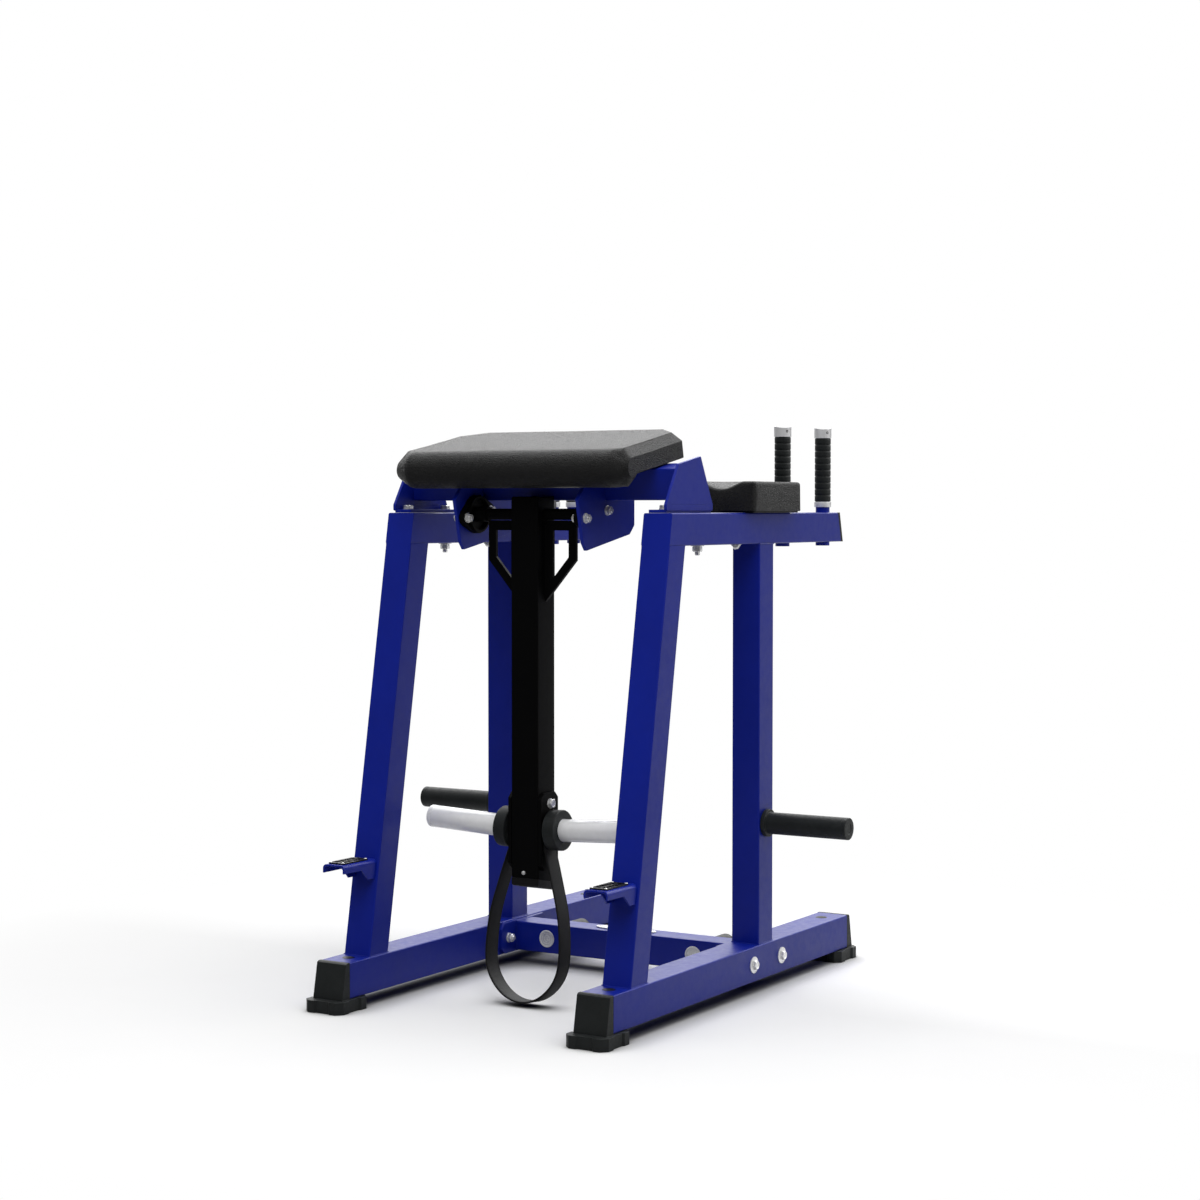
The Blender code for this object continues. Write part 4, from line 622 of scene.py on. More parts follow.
def cross_plate():
    """Bare oval plate on top of the cross tube, with a raised rim."""
    work = bmesh.new()
    long = 0.0810
    wide = 0.0195
    levels = [(0, 0), (0, 0.0022), (0.0004, 0.0028), (0.0010, 0.0030),
              (0.0026, 0.0030), (0.0030, 0.0026), (0.0130, 0.0026)]
    rings = []
    for inset, height in levels:
        points = []
        for i in range(72):
            a = 2 * math.pi * i / 72
            c = math.cos(a)
            s = math.sin(a)
            x = (long - inset) * math.copysign(abs(c) ** 0.72, c)
            y = (wide - inset) * math.copysign(abs(s) ** 0.86, s)
            points.append((x, y, height))
        rings.append(ring_of(work, points))
    loft(work, rings)
    piece("cross_tube_plate", work, ALUMINIUM, "frame",
          moved(0.0, CROSS_Y, CROSS_Z + CROSS_HALF + 0.0002))


def tread_rivets():
    """Four dome rivets in each step tread."""
    profile = [(0, 0.0016), (0.0012, 0.0015), (0.0022, 0.0011), (0.0030, 0.0004),
               (0.0031, 0), (0, 0)]
    for side, _ in SIDES:
        low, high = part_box("step_tread_" + side)
        for k in range(4):
            x = (low.x + 0.0042) if k % 2 else (high.x - 0.0042)
            y = (low.y + 0.0050) if k < 2 else (high.y - 0.0050)
            piece(f"tread_rivet_{side}_{k + 1}", turned(profile, 20), ZINC, "frame",
                  moved(x, y, high.z))


def bracket_bolts():
    """Bolts that hold the pad brackets on the top tubes."""
    for side, sign in SIDES:
        for end, y in (("front", -0.2735), ("rear", -0.1285)):
            grip = BRACKET_BOLT_Z - TOP_TUBE_BOTTOM
            fastener(f"bracket_bolt_{end}_{side}", "frame",
                     moved(sign * SIDE_X, y, BRACKET_BOLT_Z), grip, 0.024,
                     nut=end == "rear", low_wide=0.030, nut_height=0.0120, tail=0.0080)


def bearing_bolts():
    """Two bolts through each bearing flange and its pivot plate, all nuts to the right."""
    turn = Matrix.Rotation(-math.pi / 2, 4, "Y")
    for side, x in (("left", -0.1635), ("right", 0.1437)):
        for end, to_rear in (("front", -1), ("rear", 1)):
            along = to_rear * BEARING_BOLT_APART
            spot = moved(x, PIVOT.y + along * math.cos(PAD_TILT),
                         PIVOT.z + along * math.sin(PAD_TILT)) @ turn
            fastener(f"bearing_bolt_{end}_{side}", "frame", spot, 0.0198, 0.0225,
                     across=0.017, radius=0.005, head=0.0085, nut_height=0.0085, tail=0.0035)


def elbow_bolts():
    """Dome nuts under the top tubes that hold the elbow pads."""
    profile = [(0, 0.0125), (0.0040, 0.0118), (0.0068, 0.0095), (0.0080, 0.0060),
               (0.0080, 0.0050), (0.0105, 0.0050), (0.0105, 0.0020), (0.0125, 0.0020),
               (0.0125, 0), (0, 0)]
    for side, sign in SIDES:
        spot = moved(sign * SIDE_X, 0.0525, TOP_TUBE_BOTTOM) @ UPSIDE_DOWN
        piece(f"elbow_pad_nut_{side}", turned(profile, 32), ZINC, "frame", spot)


def arm_screw():
    """Small screw that holds the arm's end cap."""
    profile = [(0, 0.0012), (0.0009, 0.0012), (0.0012, 0.0026), (0.0030, 0.0028),
               (0.0042, 0.0018), (0.0047, 0.0006), (0.0047, 0), (0, 0)]
    spot = moved(-0.003, PIVOT.y - 0.035, 0.2955) @ TO_FRONT
    piece("arm_cap_screw", turned(profile, 28), ZINC, "pendulum", spot)


hole_plugs()
cross_plate()
tread_rivets()
bracket_bolts()
bearing_bolts()
elbow_bolts()
arm_screw()


# Turned pieces that replace their plainer nodes

def sleeve_spot(sign):
    """Frame of one rising sleeve, local Z outward from the axle's bend."""
    turn = Matrix.Rotation(sign * (math.pi / 2 - SLEEVE_TILT), 4, "Y")
    return moved(sign * SLEEVE_KNEE, PIVOT.y, AXLE_Z) @ turn


def sleeves():
    """Chromed plate sleeves with a ring groove near the open end, and a recessed end."""
    length = 0.22344
    r = 0.025
    g = length - 0.010
    profile = [(0, 0.0293), (r, 0.0293), (r, g - 0.0012), (r - 0.0008, g - 0.0006),
               (r - 0.0008, g + 0.0006), (r, g + 0.0012), (r, length - 0.0020),
               (r - 0.0022, length), (0.0150, length), (0.0138, length - 0.0025),
               (0, length - 0.0025)]
    for side, sign in SIDES:
        piece(f"sleeve_tube_{side}", turned(rounded(profile, 0.0005, 2), 72), CHROME,
              "pendulum", sleeve_spot(sign), 28, f"weight_sleeve_{side}")


def bumpers():
    """Rubber bumpers with rounded rims and a shallow groove close to the sleeve."""
    t = 0.029
    r = 0.045
    profile = [(0.0133, 0), (r, 0), (r, t), (0.0290, t), (0.0284, t - 0.0006),
               (0.0268, t - 0.0006), (0.0262, t), (0.0133, t)]
    for side, sign in SIDES:
        piece(f"bumper_ring_{side}", turned(rounded(profile, 0.0028, 5), 72), RUBBER,
              "pendulum", sleeve_spot(sign), 50, f"sleeve_bumper_{side}")


def storage_pegs():
    """Rubber covered pegs: collar, tube with a moulded end ring."""
    middle, size = middle_of("storage_peg_right")
    length = size.x
    start_x = middle.x - length / 2
    collar = size.z / 2
    r = 0.025
    profile = [(0, 0), (collar, 0), (collar, 0.0100), (r, 0.0100),
               (r, length - 0.0130), (r - 0.0005, length - 0.0124),
               (r - 0.0005, length - 0.0116), (r, length - 0.0110), (r, length),
               (0.0120, length), (0.0112, length - 0.0012), (0, length - 0.0012)]
    for side, sign in SIDES:
        turn = Matrix.Rotation(sign * math.pi / 2, 4, "Y")
        piece(f"storage_peg_cover_{side}", turned(rounded(profile, 0.0016, 4), 64), RUBBER,
              "frame", moved(sign * start_x, middle.y, middle.z) @ turn, 50, f"storage_peg_{side}")


def band_pegs():
    """Rubber band pegs behind the cross tube."""
    low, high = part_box("band_peg_right")
    length = high.y - low.y
    profile = [(0, 0), (0.025, 0), (0.025, length), (0, length)]
    back = Matrix.Rotation(-math.pi / 2, 4, "X")
    for side, sign in SIDES:
        piece(f"band_peg_cover_{side}", turned(rounded(profile, 0.0045, 4), 56), RUBBER,
              "frame", moved(sign * BAND_X, low.y, CROSS_Z) @ back, 50, f"band_peg_{side}")


def grips():
    """Ribbed rubber grips between two aluminium clamp collars."""
    low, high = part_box("handle_grip_front_right")
    foot = low.z
    grip_low = foot + 0.0133
    length = high.z - grip_low
    ribs = 10
    pitch = length / ribs
    r = (high.x - low.x) / 2
    c = r - 0.0002
    profile = [(POST_BORE, 0)]
    for k in range(ribs):
        z = k * pitch
        profile += [(r - 0.0025, z), (r - 0.0020, z + 0.0007), (r - 0.0012, z + 0.0016),
                    (r - 0.0012, z + pitch * 0.42), (r - 0.0014, z + pitch * 0.5),
                    (r - 0.0012, z + pitch * 0.58), (r - 0.0012, z + pitch - 0.0016),
                    (r - 0.0020, z + pitch - 0.0007), (r - 0.0025, z + pitch)]
    profile.append((POST_BORE, length))
    lower = rounded([(POST_BORE, 0), (c, 0), (c, 0.0128), (POST_BORE, 0.0128)], 0.0006, 2)
    for side, _ in SIDES:
        for end in ("front", "rear"):
            x, y, _ = middle_of(f"handle_grip_{end}_{side}")[0]
            piece(f"grip_sleeve_{end}_{side}", turned(profile, 56), RUBBER, "frame",
                  moved(x, y, grip_low), 60, f"handle_grip_{end}_{side}")
            piece(f"grip_low_collar_{end}_{side}", turned(lower, 56), ALUMINIUM, "frame",
                  moved(x, y, foot))
            top_collar(end, side)


def top_collar(end, side):
    """Clamp collar on top of a grip: waved rim and a small set screw."""
    middle, size = middle_of(f"handle_collar_{end}_{side}")
    height = size.z
    foot = middle - Vector((0.0, 0.0, height / 2))
    count = 72
    work = bmesh.new()
    rings = []

    def wave(angle):
        return -0.0034 * (0.5 - 0.5 * math.cos(2 * (angle - 0.6)))

    r = size.x / 2
    levels = [(0.0174, 0, 0), (r - 0.0004, 0, 0), (r, 0.0004, 0),
              (r, height - 0.0006, 1), (r - 0.0005, height, 1), (0.0178, height, 1),
              (0.0173, height - 0.0006, 1)]
    for radius, z, waved in levels:
        points = circle(radius, z, count)
        rings.append(ring_of(work, [(px, py, pz + waved * wave(2 * math.pi * i / count))
                                    for i, (px, py, pz) in enumerate(points)]))
    floor_z = height - 0.0060
    rings.append(ring_of(work, circle(POST_BORE, floor_z, count)))
    rings.append(ring_of(work, [(0.0, 0.0, floor_z)]))
    loft(work, rings, False)
    piece(f"grip_top_collar_{end}_{side}", work, ALUMINIUM, "frame",
          moved(*foot), 35, f"handle_collar_{end}_{side}")
    screw = [(0, -0.0012), (0.0013, -0.0012), (0.0015, 0.0004), (0.0026, 0.0005),
             (0.0029, 0.0001), (0.0029, -0.0020), (0, -0.0020)]
    angle = math.radians(-33)
    out = Vector((math.cos(angle), math.sin(angle), 0.0))
    turn = out.to_track_quat("Z", "Y").to_matrix().to_4x4()
    spot = moved(*(foot + Vector((0.0, 0.0, height * 0.52)) + out * (r - 0.0001))) @ turn
    piece(f"grip_set_screw_{end}_{side}", turned(screw, 20, hexagon(0.0056)), BLACK,
          "frame", spot, 30)


sleeves()
bumpers()
storage_pegs()
band_pegs()
grips()


# Weld beads, painted over

def tube_ends(name, lean):
    """Lower and upper end outlines of an upright."""
    low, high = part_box(name)
    depth = UPRIGHT_DEPTH / math.cos(lean)
    return [[Vector((x, y + share * depth, z))
             for x, share in ((low.x, 0), (high.x, 0), (high.x, 1), (low.x, 1))]
            for z, y in ((low.z, low.y), (high.z, high.y - depth))]


def flush_seam(work, corners):
    """Thin band that closes the ground-flush seam between an upright and the top tube."""
    middle = sum(corners, Vector()) / 4
    half_x = (corners[1].x - corners[0].x) / 2
    half_y = (corners[2].y - corners[1].y) / 2
    rings = []
    for lift in (-0.0012, 0.0015):
        points = []
        for sx, sy in ((1, 1), (-1, 1), (-1, -1), (1, -1)):
            for k in range(7):
                a = math.pi / 2 * k / 6
                c, s = math.cos(a), math.sin(a)
                if sx * sy < 0:
                    c, s = s, c
                r = TUBE_CORNER + SEAM_PROUD
                points.append((middle.x + sx * (half_x - TUBE_CORNER + r * c),
                               middle.y + math.tan(UPRIGHT_LEAN) * lift
                               + sy * (half_y - TUBE_CORNER + r * s), corners[0].z + lift))
        rings.append(ring_of(work, points))
    loft(work, rings, False)


def welds():
    """Beads where the tubes of the side frames and the flanges are welded."""
    for side, sign in SIDES:
        work = bmesh.new()
        front_low, front_high = tube_ends(f"front_upright_{side}", UPRIGHT_LEAN)
        rear_low, rear_high = tube_ends(f"rear_upright_{side}", 0.0)
        for corners in (rear_low, rear_high, front_low):
            weld_loop(work, corners, 0.0013)
        step_low, step_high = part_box(f"foot_step_{side}")
        for x in (step_low.x, step_high.x):
            weld_run(work, (x, step_high.y, step_high.z - 0.006),
                     (x, step_high.y + 0.004, step_low.z + 0.010), 0.0012)
        weld_loop(work, [Vector((sign * FLANGE_X, CROSS_Y + y * CROSS_HALF,
                                 CROSS_Z + z * CROSS_HALF))
                         for y, z in ((-1, -1), (1, -1), (1, 1), (-1, 1))], 0.0015)
        piece(f"weld_beads_{side}", work, BLUE, "frame", None, 60)
        work = bmesh.new()
        flush_seam(work, front_high)
        piece(f"flush_seam_{side}", work, BLUE, "frame", None, 60)
    work = bmesh.new()
    for sign in (-1, 1):
        for y in (PIVOT.y - 0.004, PIVOT.y + 0.004):
            weld_run(work, (sign * 0.035, y, 0.900), (sign * 0.035, y, 1.068), 0.0012)
    piece("weld_beads_arm", work, BLACK, "pendulum", None, 60)


welds()


# Soft parts

def copy_of(name, mesh_name):
    """Welded mesh of a CAD node, as a new object."""
    work = bmesh.new()
    work.from_mesh(nodes[name].data)
    bmesh.ops.remove_doubles(work, verts=work.verts, dist=0.00002)
    return object_of(mesh_name, work)


def apply_all(obj):
    """Replace the object's mesh by its evaluated one."""
    graph = bpy.context.evaluated_depsgraph_get()
    mesh = bpy.data.meshes.new_from_object(obj.evaluated_get(graph))
    obj.modifiers.clear()
    old = obj.data
    obj.data = mesh
    bpy.data.meshes.remove(old)


def positions(obj):
    """Vertex positions as an array."""
    co = np.empty(len(obj.data.vertices) * 3)
    obj.data.vertices.foreach_get("co", co)
    return co.reshape(-1, 3)


def set_positions(obj, co):
    """Write vertex positions back."""
    obj.data.vertices.foreach_set("co", co.ravel())
    obj.data.update()


def simulate(obj, pressure):
    """Swell a closed cover by cloth pressure, and keep the result."""
    cloth = obj.modifiers.new("cloth", "CLOTH")
    cloth.settings.use_pressure = True
    cloth.settings.uniform_pressure_force = pressure
    cloth.settings.effector_weights.gravity = 0.0
    cloth.settings.tension_stiffness = 25.0
    cloth.settings.compression_stiffness = 25.0
    cloth.settings.bending_stiffness = 4.0
    cloth.settings.mass = 0.3
    cloth.point_cache.frame_start = 1
    cloth.point_cache.frame_end = CLOTH_STEPS
    for step in range(1, CLOTH_STEPS + 1):
        bpy.context.scene.frame_set(step)
    apply_all(obj)
    bpy.context.scene.frame_set(1)


def gridded(obj, matrix, step):
    """Cut every face by evenly spaced planes across the axes of a frame."""
    work = bmesh.new()
    work.from_mesh(obj.data)
    work.transform(matrix.inverted())
    for axis in range(3):
        places = [v.co[axis] for v in work.verts]
        low = min(places)
        high = max(places)
        count = int((high - low) / step)
        normal = Vector((0.0, 0.0, 0.0))
        normal[axis] = 1.0
        for k in range(1, count):
            geom = work.verts[:] + work.edges[:] + work.faces[:]
            bmesh.ops.bisect_plane(work, geom=geom, dist=0.0004, plane_no=normal,
                                   plane_co=normal * (low + (high - low) * k / count))
    work.transform(matrix)
    work.to_mesh(obj.data)
    work.free()


def stuffed(obj, matrix, step, edge, voxel, cap, pressure, still):
    """Crisp tailored panels, swollen by cloth pressure above the height named still."""
    source = obj.copy()
    source.data = obj.data.copy()
    bpy.context.scene.collection.objects.link(source)
    rim = obj.modifiers.new("rim", "BEVEL")
    rim.width = edge
    rim.segments = 3
    rim.limit_method = "ANGLE"
    rim.angle_limit = math.radians(24)
    apply_all(obj)
    gridded(obj, matrix, step)
    remesh = source.modifiers.new("remesh", "REMESH")
    remesh.mode = "VOXEL"
    remesh.voxel_size = voxel
    apply_all(source)
    before = positions(source)
    simulate(source, pressure)
    shift = positions(source) - before
    bpy.data.objects.remove(source, do_unlink=True)
    length = np.linalg.norm(shift, axis=1, keepdims=True)
    shift *= np.minimum(1.0, cap / np.maximum(length, 1e-9))
    tree = KDTree(len(before))
    for i, co in enumerate(before):
        tree.insert(co, i)
    tree.balance()
    here = positions(obj)
    move = np.array([shift[[found[1] for found in tree.find_n(co, 6)]].mean(axis=0)
                     for co in here])
    inverse = np.array(matrix.inverted())
    height = here @ inverse[2, :3] + inverse[2, 3]
    held = np.clip((height - still) / HOLD_FADE, 0.0, 1.0)
    move = evened(obj, move * held[:, None], 10)
    set_positions(obj, here + move)


def evened(obj, values, rounds):
    """Average values at the vertices with their neighbours, round after round."""
    mesh = obj.data
    ends = np.empty(len(mesh.edges) * 2, dtype=np.int64)
    mesh.edges.foreach_get("vertices", ends)
    a, b = ends.reshape(-1, 2).T
    count = np.zeros(len(mesh.vertices))
    np.add.at(count, a, 1.0)
    np.add.at(count, b, 1.0)
    for _ in range(rounds):
        total = np.zeros_like(values)
        np.add.at(total, a, values[b])
        np.add.at(total, b, values[a])
        values = 0.5 * values + 0.5 * total / count[:, None]
    return values


def finish_cover(obj, node_name):
    """Material, smooth shading and body of a padded piece, its node hidden."""
    obj.data.materials.clear()
    obj.data.materials.append(VINYL)
    obj.data.shade_smooth()
    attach(obj, "frame")
    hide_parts(node_name)


def tapered(obj, matrix):
    """Narrow the front roll towards its two ends, where the cover is drawn in."""
    inverse = np.array(matrix.inverted())
    co = positions(obj)
    local = co @ inverse[:3, :3].T + inverse[:3, 3]
    forward = local[:, 1] - ROLL_Y
    up = local[:, 2] - ROLL_Z
    across = np.abs(local[:, 0])
    ends = np.clip((across - ROLL_TAPER_FROM) / (PAD_HALF - ROLL_TAPER_FROM), 0.0, 1.0)
    before = np.minimum(ROLL_RADIUS, ROLL_RADIUS + PAD_HALF - PAD_EDGE - across)
    after = ROLL_RADIUS - (ROLL_RADIUS - ROLL_END) * ends ** 1.15
    share = np.clip(np.where(before > 0.01, after / np.maximum(before, 0.01), 1.0), 0.0, 1.0)
    front = np.clip((0.006 - forward) / 0.024, 0.0, 1.0)
    scale = 1.0 - (1.0 - share) * front
    local[:, 1] = ROLL_Y + forward * scale
    local[:, 2] = ROLL_Z + up * scale
    back = np.linalg.inv(inverse)
    set_positions(obj, local @ back[:3, :3].T + back[:3, 3])


def main_pad():
    """Torso pad: flat crowned top, sloped borders, full front roll."""
    obj = copy_of("main_pad_cushion", "main_pad_cover")
    frame_of_pad = moved(*BEAM) @ Matrix.Rotation(PAD_TILT, 4, "X") @ moved(0, 0, BEAM_HALF)
    stuffed(obj, frame_of_pad, step=0.0075, edge=0.0020, voxel=0.0050, cap=0.0014,
            pressure=4.0, still=0.012)
    tapered(obj, frame_of_pad)
    finish_cover(obj, "main_pad_cushion")


def pad_plan(sign, inset):
    """Rounded plan of an elbow pad about the top tube's middle."""
    half = ELBOW_LENGTH / 2
    corners = [(-ELBOW_IN, -half), (ELBOW_OUT, -half), (ELBOW_OUT, half),
               (-ELBOW_REAR_IN, half), (-ELBOW_IN, half - ELBOW_SLANT)]
    points = []
    for i, corner in enumerate(corners):
        here = Vector(corner)
        before = (Vector(corners[i - 1]) - here).normalized()
        after = (Vector(corners[(i + 1) % len(corners)]) - here).normalized()
        half_angle = before.angle(after) / 2
        centre = here + (before + after).normalized() * (ELBOW_ROUND / math.sin(half_angle))
        reach = ELBOW_ROUND / math.tan(half_angle)
        first = (here + before * reach - centre).normalized()
        last = (here + after * reach - centre).normalized()
        for k in range(5):
            points.append(centre + first.lerp(last, k / 4).normalized() * (ELBOW_ROUND - inset))
    return [(p.x * sign, p.y) for p in points]


def stacked(sign, levels):
    """Solid whose elbow pad plans lie at the levels, as (height, inset)."""
    work = bmesh.new()
    loft(work, [ring_of(work, [(*point, z) for point in pad_plan(sign, inset)])
                for z, inset in levels])
    return work


def elbow_form(name, sign, height):
    """Plain block of an elbow pad with rounded rims, its scoop still missing."""
    e = ELBOW_RIM
    levels = [(ELBOW_BASE, 0.0016), (ELBOW_BASE + 0.0005, 0.0005), (ELBOW_BASE + 0.0016, 0)]
    for k in range(5):
        a = math.pi / 2 * k / 4
        levels.append((height - e + e * math.sin(a), e - e * math.cos(a)))
    work = stacked(sign, levels)
    bmesh.ops.recalc_face_normals(work, faces=work.faces)
    return object_of(name, work)


def scooped(obj, sign, height):
    """Sink the front of the top in a trough that runs out towards the rear."""
    co = positions(obj)
    across = (co[:, 0] * sign + SCOOP_IN) / (SCOOP_WIDTH / 2)
    back = (co[:, 1] + ELBOW_LENGTH / 2) / SCOOP_LENGTH
    trough = np.clip(1.0 - across ** 2, 0.0, 1.0) ** 1.4
    fade = np.clip(1.0 - back, 0.0, 1.0)
    fade = fade * (0.6 + 0.4 * fade)
    still = ELBOW_BASE + 0.010
    share = np.clip((co[:, 2] - still) / (height - still), 0.0, 1.0)
    co[:, 2] -= SCOOP_DEPTH * trough * fade * share
    set_positions(obj, co)


def elbow_pads():
    """Scooped elbow cushions on thin set-back bases."""
    for side, sign in SIDES:
        low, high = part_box(f"elbow_cushion_{side}")
        height = high.z - TOP_HEIGHT
        middle = Vector((sign * SIDE_X, (low.y + high.y) / 2, TOP_HEIGHT))
        obj = elbow_form(f"elbow_cover_{side}", sign, height)
        stuffed(obj, Matrix.Identity(4), step=0.0050, edge=0.0001, voxel=0.0040, cap=0.0010,
                pressure=3.0, still=0.010)
        scooped(obj, sign, height)
        obj.data.transform(moved(*middle))
        finish_cover(obj, f"elbow_cushion_{side}")
        work = stacked(sign, ((0.0, 0.0066), (0.0006, 0.0060), (ELBOW_BASE, 0.0060)))
        piece(f"elbow_base_{side}", work, PLASTIC, "frame", moved(middle.x, middle.y, low.z))


main_pad()
elbow_pads()


# Ankle strap

def smooth_point(knots, t):
    """Point of a smooth curve through the two middle knots of four."""
    p0, p1, p2, p3 = [Vector(knot) for knot in knots]
    bend = p1 * 2 + (p2 - p0) * t
    bend += (p0 * 2 - p1 * 5 + p2 * 4 - p3) * t * t
    bend += (p1 * 3 - p0 - p2 * 3 + p3) * t * t * t
    return bend / 2


def strap_line():
    """Middle line of the whole loop, in X and Z from the axle."""
    fall = STRAP_DROP + STRAP_START
    shape = ((0.20, 0.71), (0.42, 0.92), (0.63, 1.0), (0.78, 0.96), (0.89, 0.76), (0.97, 0.42))
    knots = [(STRAP_TOP_X, 0.022), (STRAP_TOP_X, STRAP_START / 2),
             (STRAP_TOP_X, STRAP_START + 0.0025), (STRAP_TOP_X + 0.004, STRAP_START - 0.008)]
    knots += [(share * STRAP_BULGE, STRAP_START - depth * fall) for depth, share in shape]
    knots.append((0.0, -STRAP_DROP))
    ghosts = [knots[0]] + knots + [(-knots[-2][0], knots[-2][1])]
    path = []
    for i in range(1, len(ghosts) - 2):
        for k in range(10):
            path.append(smooth_point(ghosts[i - 1:i + 3], k / 10))
    path.append(Vector(knots[-1]))
    return path + [Vector((-p.x, p.y)) for p in reversed(path[:-1])]


def ankle_strap():
    """Woven loop with rounded selvedges, stitched along both edges."""
    line = strap_line()
    section = []
    for k in range(5):
        a = math.pi / 2 * k / 4
        section.append((STRAP_HALF - STRAP_THICK + STRAP_THICK * math.sin(a),
                        STRAP_THICK * math.cos(a)))
    section += [(x, -y) for x, y in reversed(section[:-1])]
    section += [(-x, y) for x, y in reversed(section)]
    work = bmesh.new()
    uv = work.loops.layers.uv.new("strap")
    rings = []
    along = []
    run = 0.0
    for i, point in enumerate(line):
        ahead = (line[min(i + 1, len(line) - 1)] - line[max(i - 1, 0)]).normalized()
        out = Vector((-ahead.y, ahead.x))
        ring = []
        for across, up in section:
            place = point + out * up
            ring.append(work.verts.new((place.x, across, place.y)))
        rings.append(ring)
        along.append(run)
        if i + 1 < len(line):
            run += (line[i + 1] - point).length
    total = len(section)
    for i in range(len(rings) - 1):
        for k in range(total):
            n = (k + 1) % total
            face = work.faces.new((rings[i][k], rings[i][n], rings[i + 1][n], rings[i + 1][k]))
            for loop, (s, r) in zip(face.loops, ((k, i), (n, i), (n, i + 1), (k, i + 1))):
                loop[uv].uv = (section[s][0] + STRAP_HALF, along[r])
    work.faces.new(list(reversed(rings[0])))
    work.faces.new(rings[-1])
    lean = moved(0, PIVOT.y, AXLE_Z) @ Matrix.Rotation(-STRAP_LEAN, 4, "X")
    piece("ankle_loop", work, STRAP, "strap", lean, 60, "ankle_strap")
    stitches(line, lean)


def stitches(line, lean):
    """Rows of thread near both edges of the strap, on its outer face."""
    work = bmesh.new()
    runs = [0.0]
    for a, b in zip(line, line[1:]):
        runs.append(runs[-1] + (b - a).length)
    length = runs[-1]

    def at(s):
        i = min(max(int(np.searchsorted(runs, s)) - 1, 0), len(line) - 2)
        t = (s - runs[i]) / (runs[i + 1] - runs[i])
        ahead = (line[i + 1] - line[i]).normalized()
        return line[i].lerp(line[i + 1], t), Vector((-ahead.y, ahead.x))

    pitch = 0.0042
    count = int((length - 0.10) / pitch)
    for edge in (-0.0205, 0.0205):
        for k in range(count):
            s = 0.05 + k * pitch
            for face in (-1, 1):
                points = []
                for part, lift in ((0.0, -0.0001), (0.25, 0.0003), (0.75, 0.0003),
                                   (1.0, -0.0001)):
                    point, out = at(s + part * pitch * 0.72)
                    spot = point + out * face * (STRAP_THICK + lift)
                    points.append(Vector((spot.x, edge, spot.y)))
                tube_along(work, points, lambda _: 0.00035, 4)
    piece("ankle_loop_stitches", work, STRAP, "strap", lean, 60)


ankle_strap()


# Floor, lights, world and camera

def floor():
    """Pale floor that keeps the shadow, with a painted contact shadow from an occlusion mask,
    painted darker towards the front and lighter towards the rear, and fading to white further out.
    """
    work = bmesh.new()
    rings = [ring_of(work, [(0, 0, 0)])]
    for radius in (1.0, 2.0, 4.0, 8.0, 20.0, 60.0):
        rings.append(ring_of(work, circle(radius, 0.0, 96)))
    loft(work, rings, False)
    obj = object_of("floor", work)
    mat, tree, shader, where = start("floor", (0.95, 0.95, 0.95), 1.0, 0.0, 0.0)
    path = node_of(tree, "LightPath", {}).outputs
    split = split_of(tree, where)
    grain = noise_of(tree, where, 3.0, 5.0, 0.6)
    even = spread(tree, grain, 0.3, 0.7, 0.985, 1.0)
    plain = spread(tree, path["Is Diffuse Ray"], 0.0, 1.0, 0.95, 0.55)
    # Painted shade and light: in reflections the floor is darker towards the front, and to the eye
    # and to diffuse light it is lighter towards the rear
    dim = spread(tree, split["Y"], -0.9, 0.5, 0.40, 1.35)
    level = math_of(tree, "MAXIMUM", dim,
                    math_of(tree, "SUBTRACT", 1.0, path["Is Glossy Ray"]))
    level = math_of(tree, "MULTIPLY", math_of(tree, "MULTIPLY", plain, level), even)
    # Painted contact shadow: an occlusion mask darkens the floor's colour under and beside the
    # machine
    closed = node_of(tree, "AmbientOcclusion", {"Distance": 0.11})
    closed.samples = 12
    painted_contact_shadow = spread(tree, closed.outputs["AO"], 0.38, 0.86, 0.34, 1.0)
    level = math_of(tree, "MULTIPLY", level, painted_contact_shadow)
    seen = spread(tree, path["Is Camera Ray"], 0.0, 1.0, 1.0, 1.05)
    tree.links.new(math_of(tree, "MULTIPLY", level, seen), shader.inputs["Base Color"])
    # Painted reflection: in reflections the far floor glows, brighter towards the rear; to the eye
    # it glows plain white
    behind = spread(tree, split["Y"], -1.0, 2.0, 0.05, 0.90)
    level = math_of(tree, "MAXIMUM", path["Is Camera Ray"], behind)
    glow = node_of(tree, "Emission", {"Strength": level})
    reach = node_of(tree, "VectorMath", {0: where}, "LENGTH")
    far = spread(tree, reach.outputs["Value"], 0.8, 1.8, 0.0, 1.0)
    seen = math_of(tree, "MAXIMUM", path["Is Camera Ray"], path["Is Glossy Ray"])
    mix = node_of(tree, "MixShader", {"Fac": math_of(tree, "MULTIPLY", far, seen),
                                      1: shader.outputs["BSDF"],
                                      2: glow.outputs["Emission"]})
    tree.links.new(mix.outputs["Shader"], tree.nodes["Material Output"].inputs["Surface"])
    obj.data.materials.append(mat)


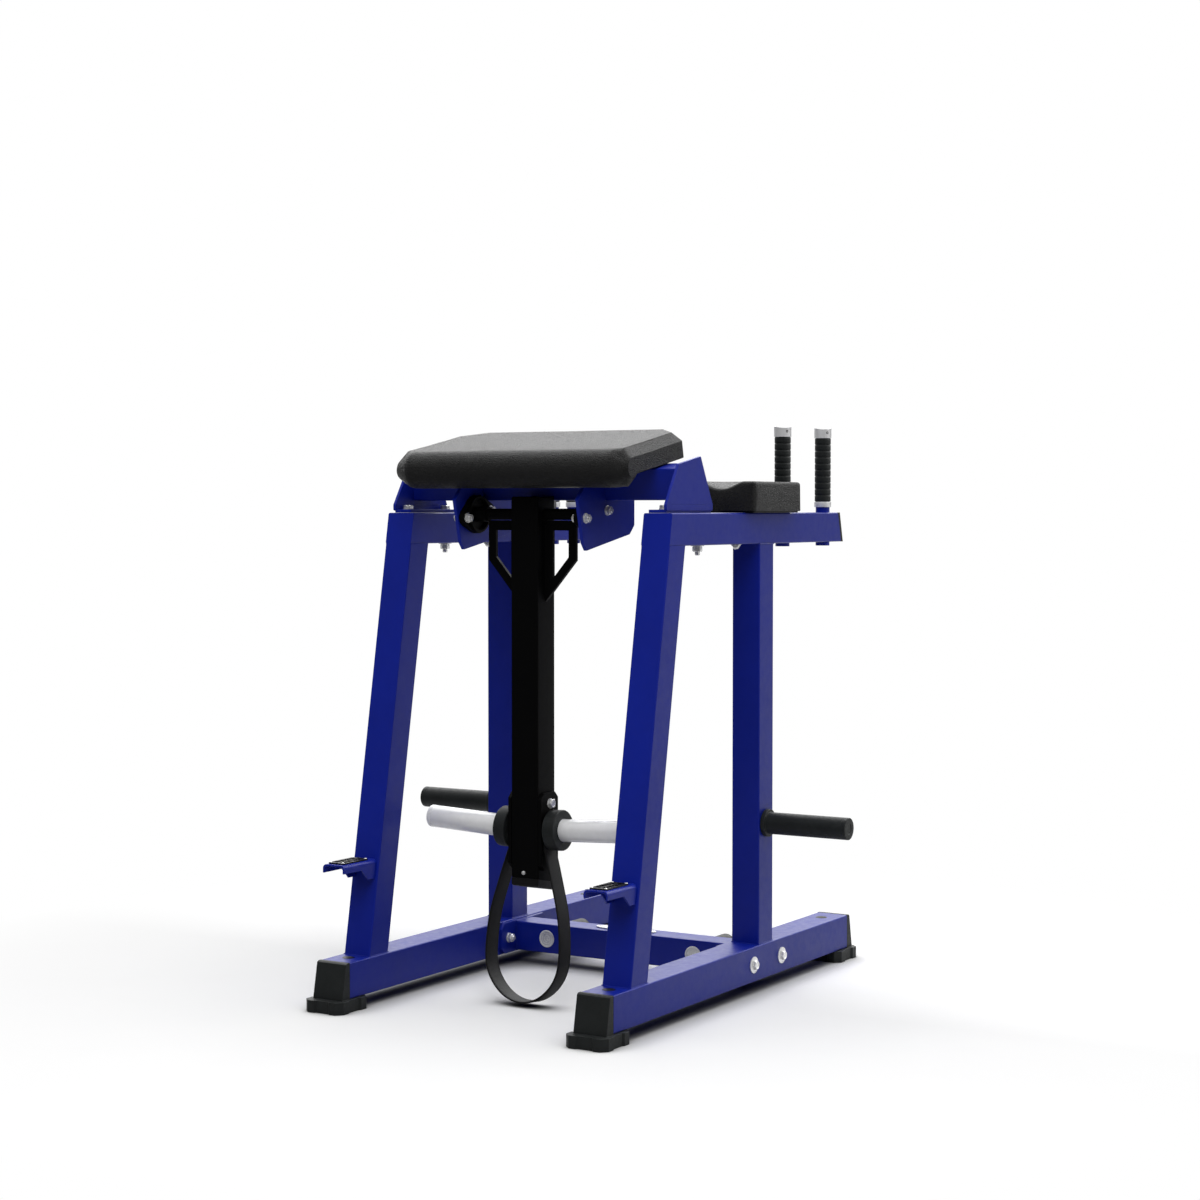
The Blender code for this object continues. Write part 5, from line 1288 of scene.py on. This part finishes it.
def world():
    """White to the eye, high soft light on surfaces, a studio with a dim front in gloss."""
    surroundings = bpy.data.worlds.new("studio")
    bpy.context.scene.world = surroundings
    surroundings.use_nodes = True
    tree = surroundings.node_tree
    back = tree.nodes["Background"]
    path = node_of(tree, "LightPath", {}).outputs
    split = split_of(tree, node_of(tree, "TexCoord", {}).outputs["Generated"])
    behind = spread(tree, split["Y"], -0.50, 0.60, 0.05, 0.41)
    high = spread(tree, split["Z"], 0.19, 0.34, 0.0, 3.40)
    rear = spread(tree, split["Y"], -0.20, 0.40, 0.10, 1.0)
    gloss = math_of(tree, "ADD", behind, math_of(tree, "MULTIPLY", high, rear))
    soft = spread(tree, split["Z"], 0.45, 0.90, 0.0, 1.15)
    glossy = node_of(tree, "Mix", {"Factor": path["Is Glossy Ray"], "A": soft, "B": gloss})
    seen = node_of(tree, "Mix", {"Factor": path["Is Camera Ray"],
                                 "A": glossy.outputs["Result"], "B": 1.0})
    tree.links.new(seen.outputs["Result"], back.inputs["Strength"])
    back.inputs["Color"].default_value = (1.0, 1.0, 1.0, 1.0)


def softbox(name, where, target_z, size, watts):
    """Square area light turned to a point over the origin, unseen by eye and gloss."""
    data = bpy.data.lights.new(name, "AREA")
    data.shape = "SQUARE"
    data.size = size
    data.energy = watts
    obj = bpy.data.objects.new(name, data)
    obj.location = where
    aim = Vector((0.0, 0.0, target_z)) - Vector(where)
    obj.rotation_euler = aim.to_track_quat("-Z", "Y").to_euler()
    obj.visible_camera = False
    obj.visible_glossy = False
    bpy.context.scene.collection.objects.link(obj)


def camera():
    """Camera at the photograph's angle."""
    data = bpy.data.cameras.new("camera")
    data.sensor_fit = "HORIZONTAL"
    data.sensor_width = 36.0
    data.lens = CAMERA_LENS
    data.clip_end = 200.0
    obj = bpy.data.objects.new("camera", data)
    obj.location = CAMERA_SPOT
    obj.rotation_euler = (math.pi / 2 - CAMERA_DIP, 0.0, CAMERA_TURN)
    bpy.context.scene.collection.objects.link(obj)
    bpy.context.scene.camera = obj


floor()
world()
softbox("top_softbox", (0.0, -0.3, 3.8), target_z=0.3, size=3.0, watts=32.0)
softbox("front_softbox", (1.2, -2.9, 3.3), target_z=0.5, size=2.4, watts=52.0)
softbox("side_softbox", (3.0, 0.6, 3.0), target_z=0.5, size=2.4, watts=9.0)
camera()
bpy.context.scene.view_settings.view_transform = "Standard"
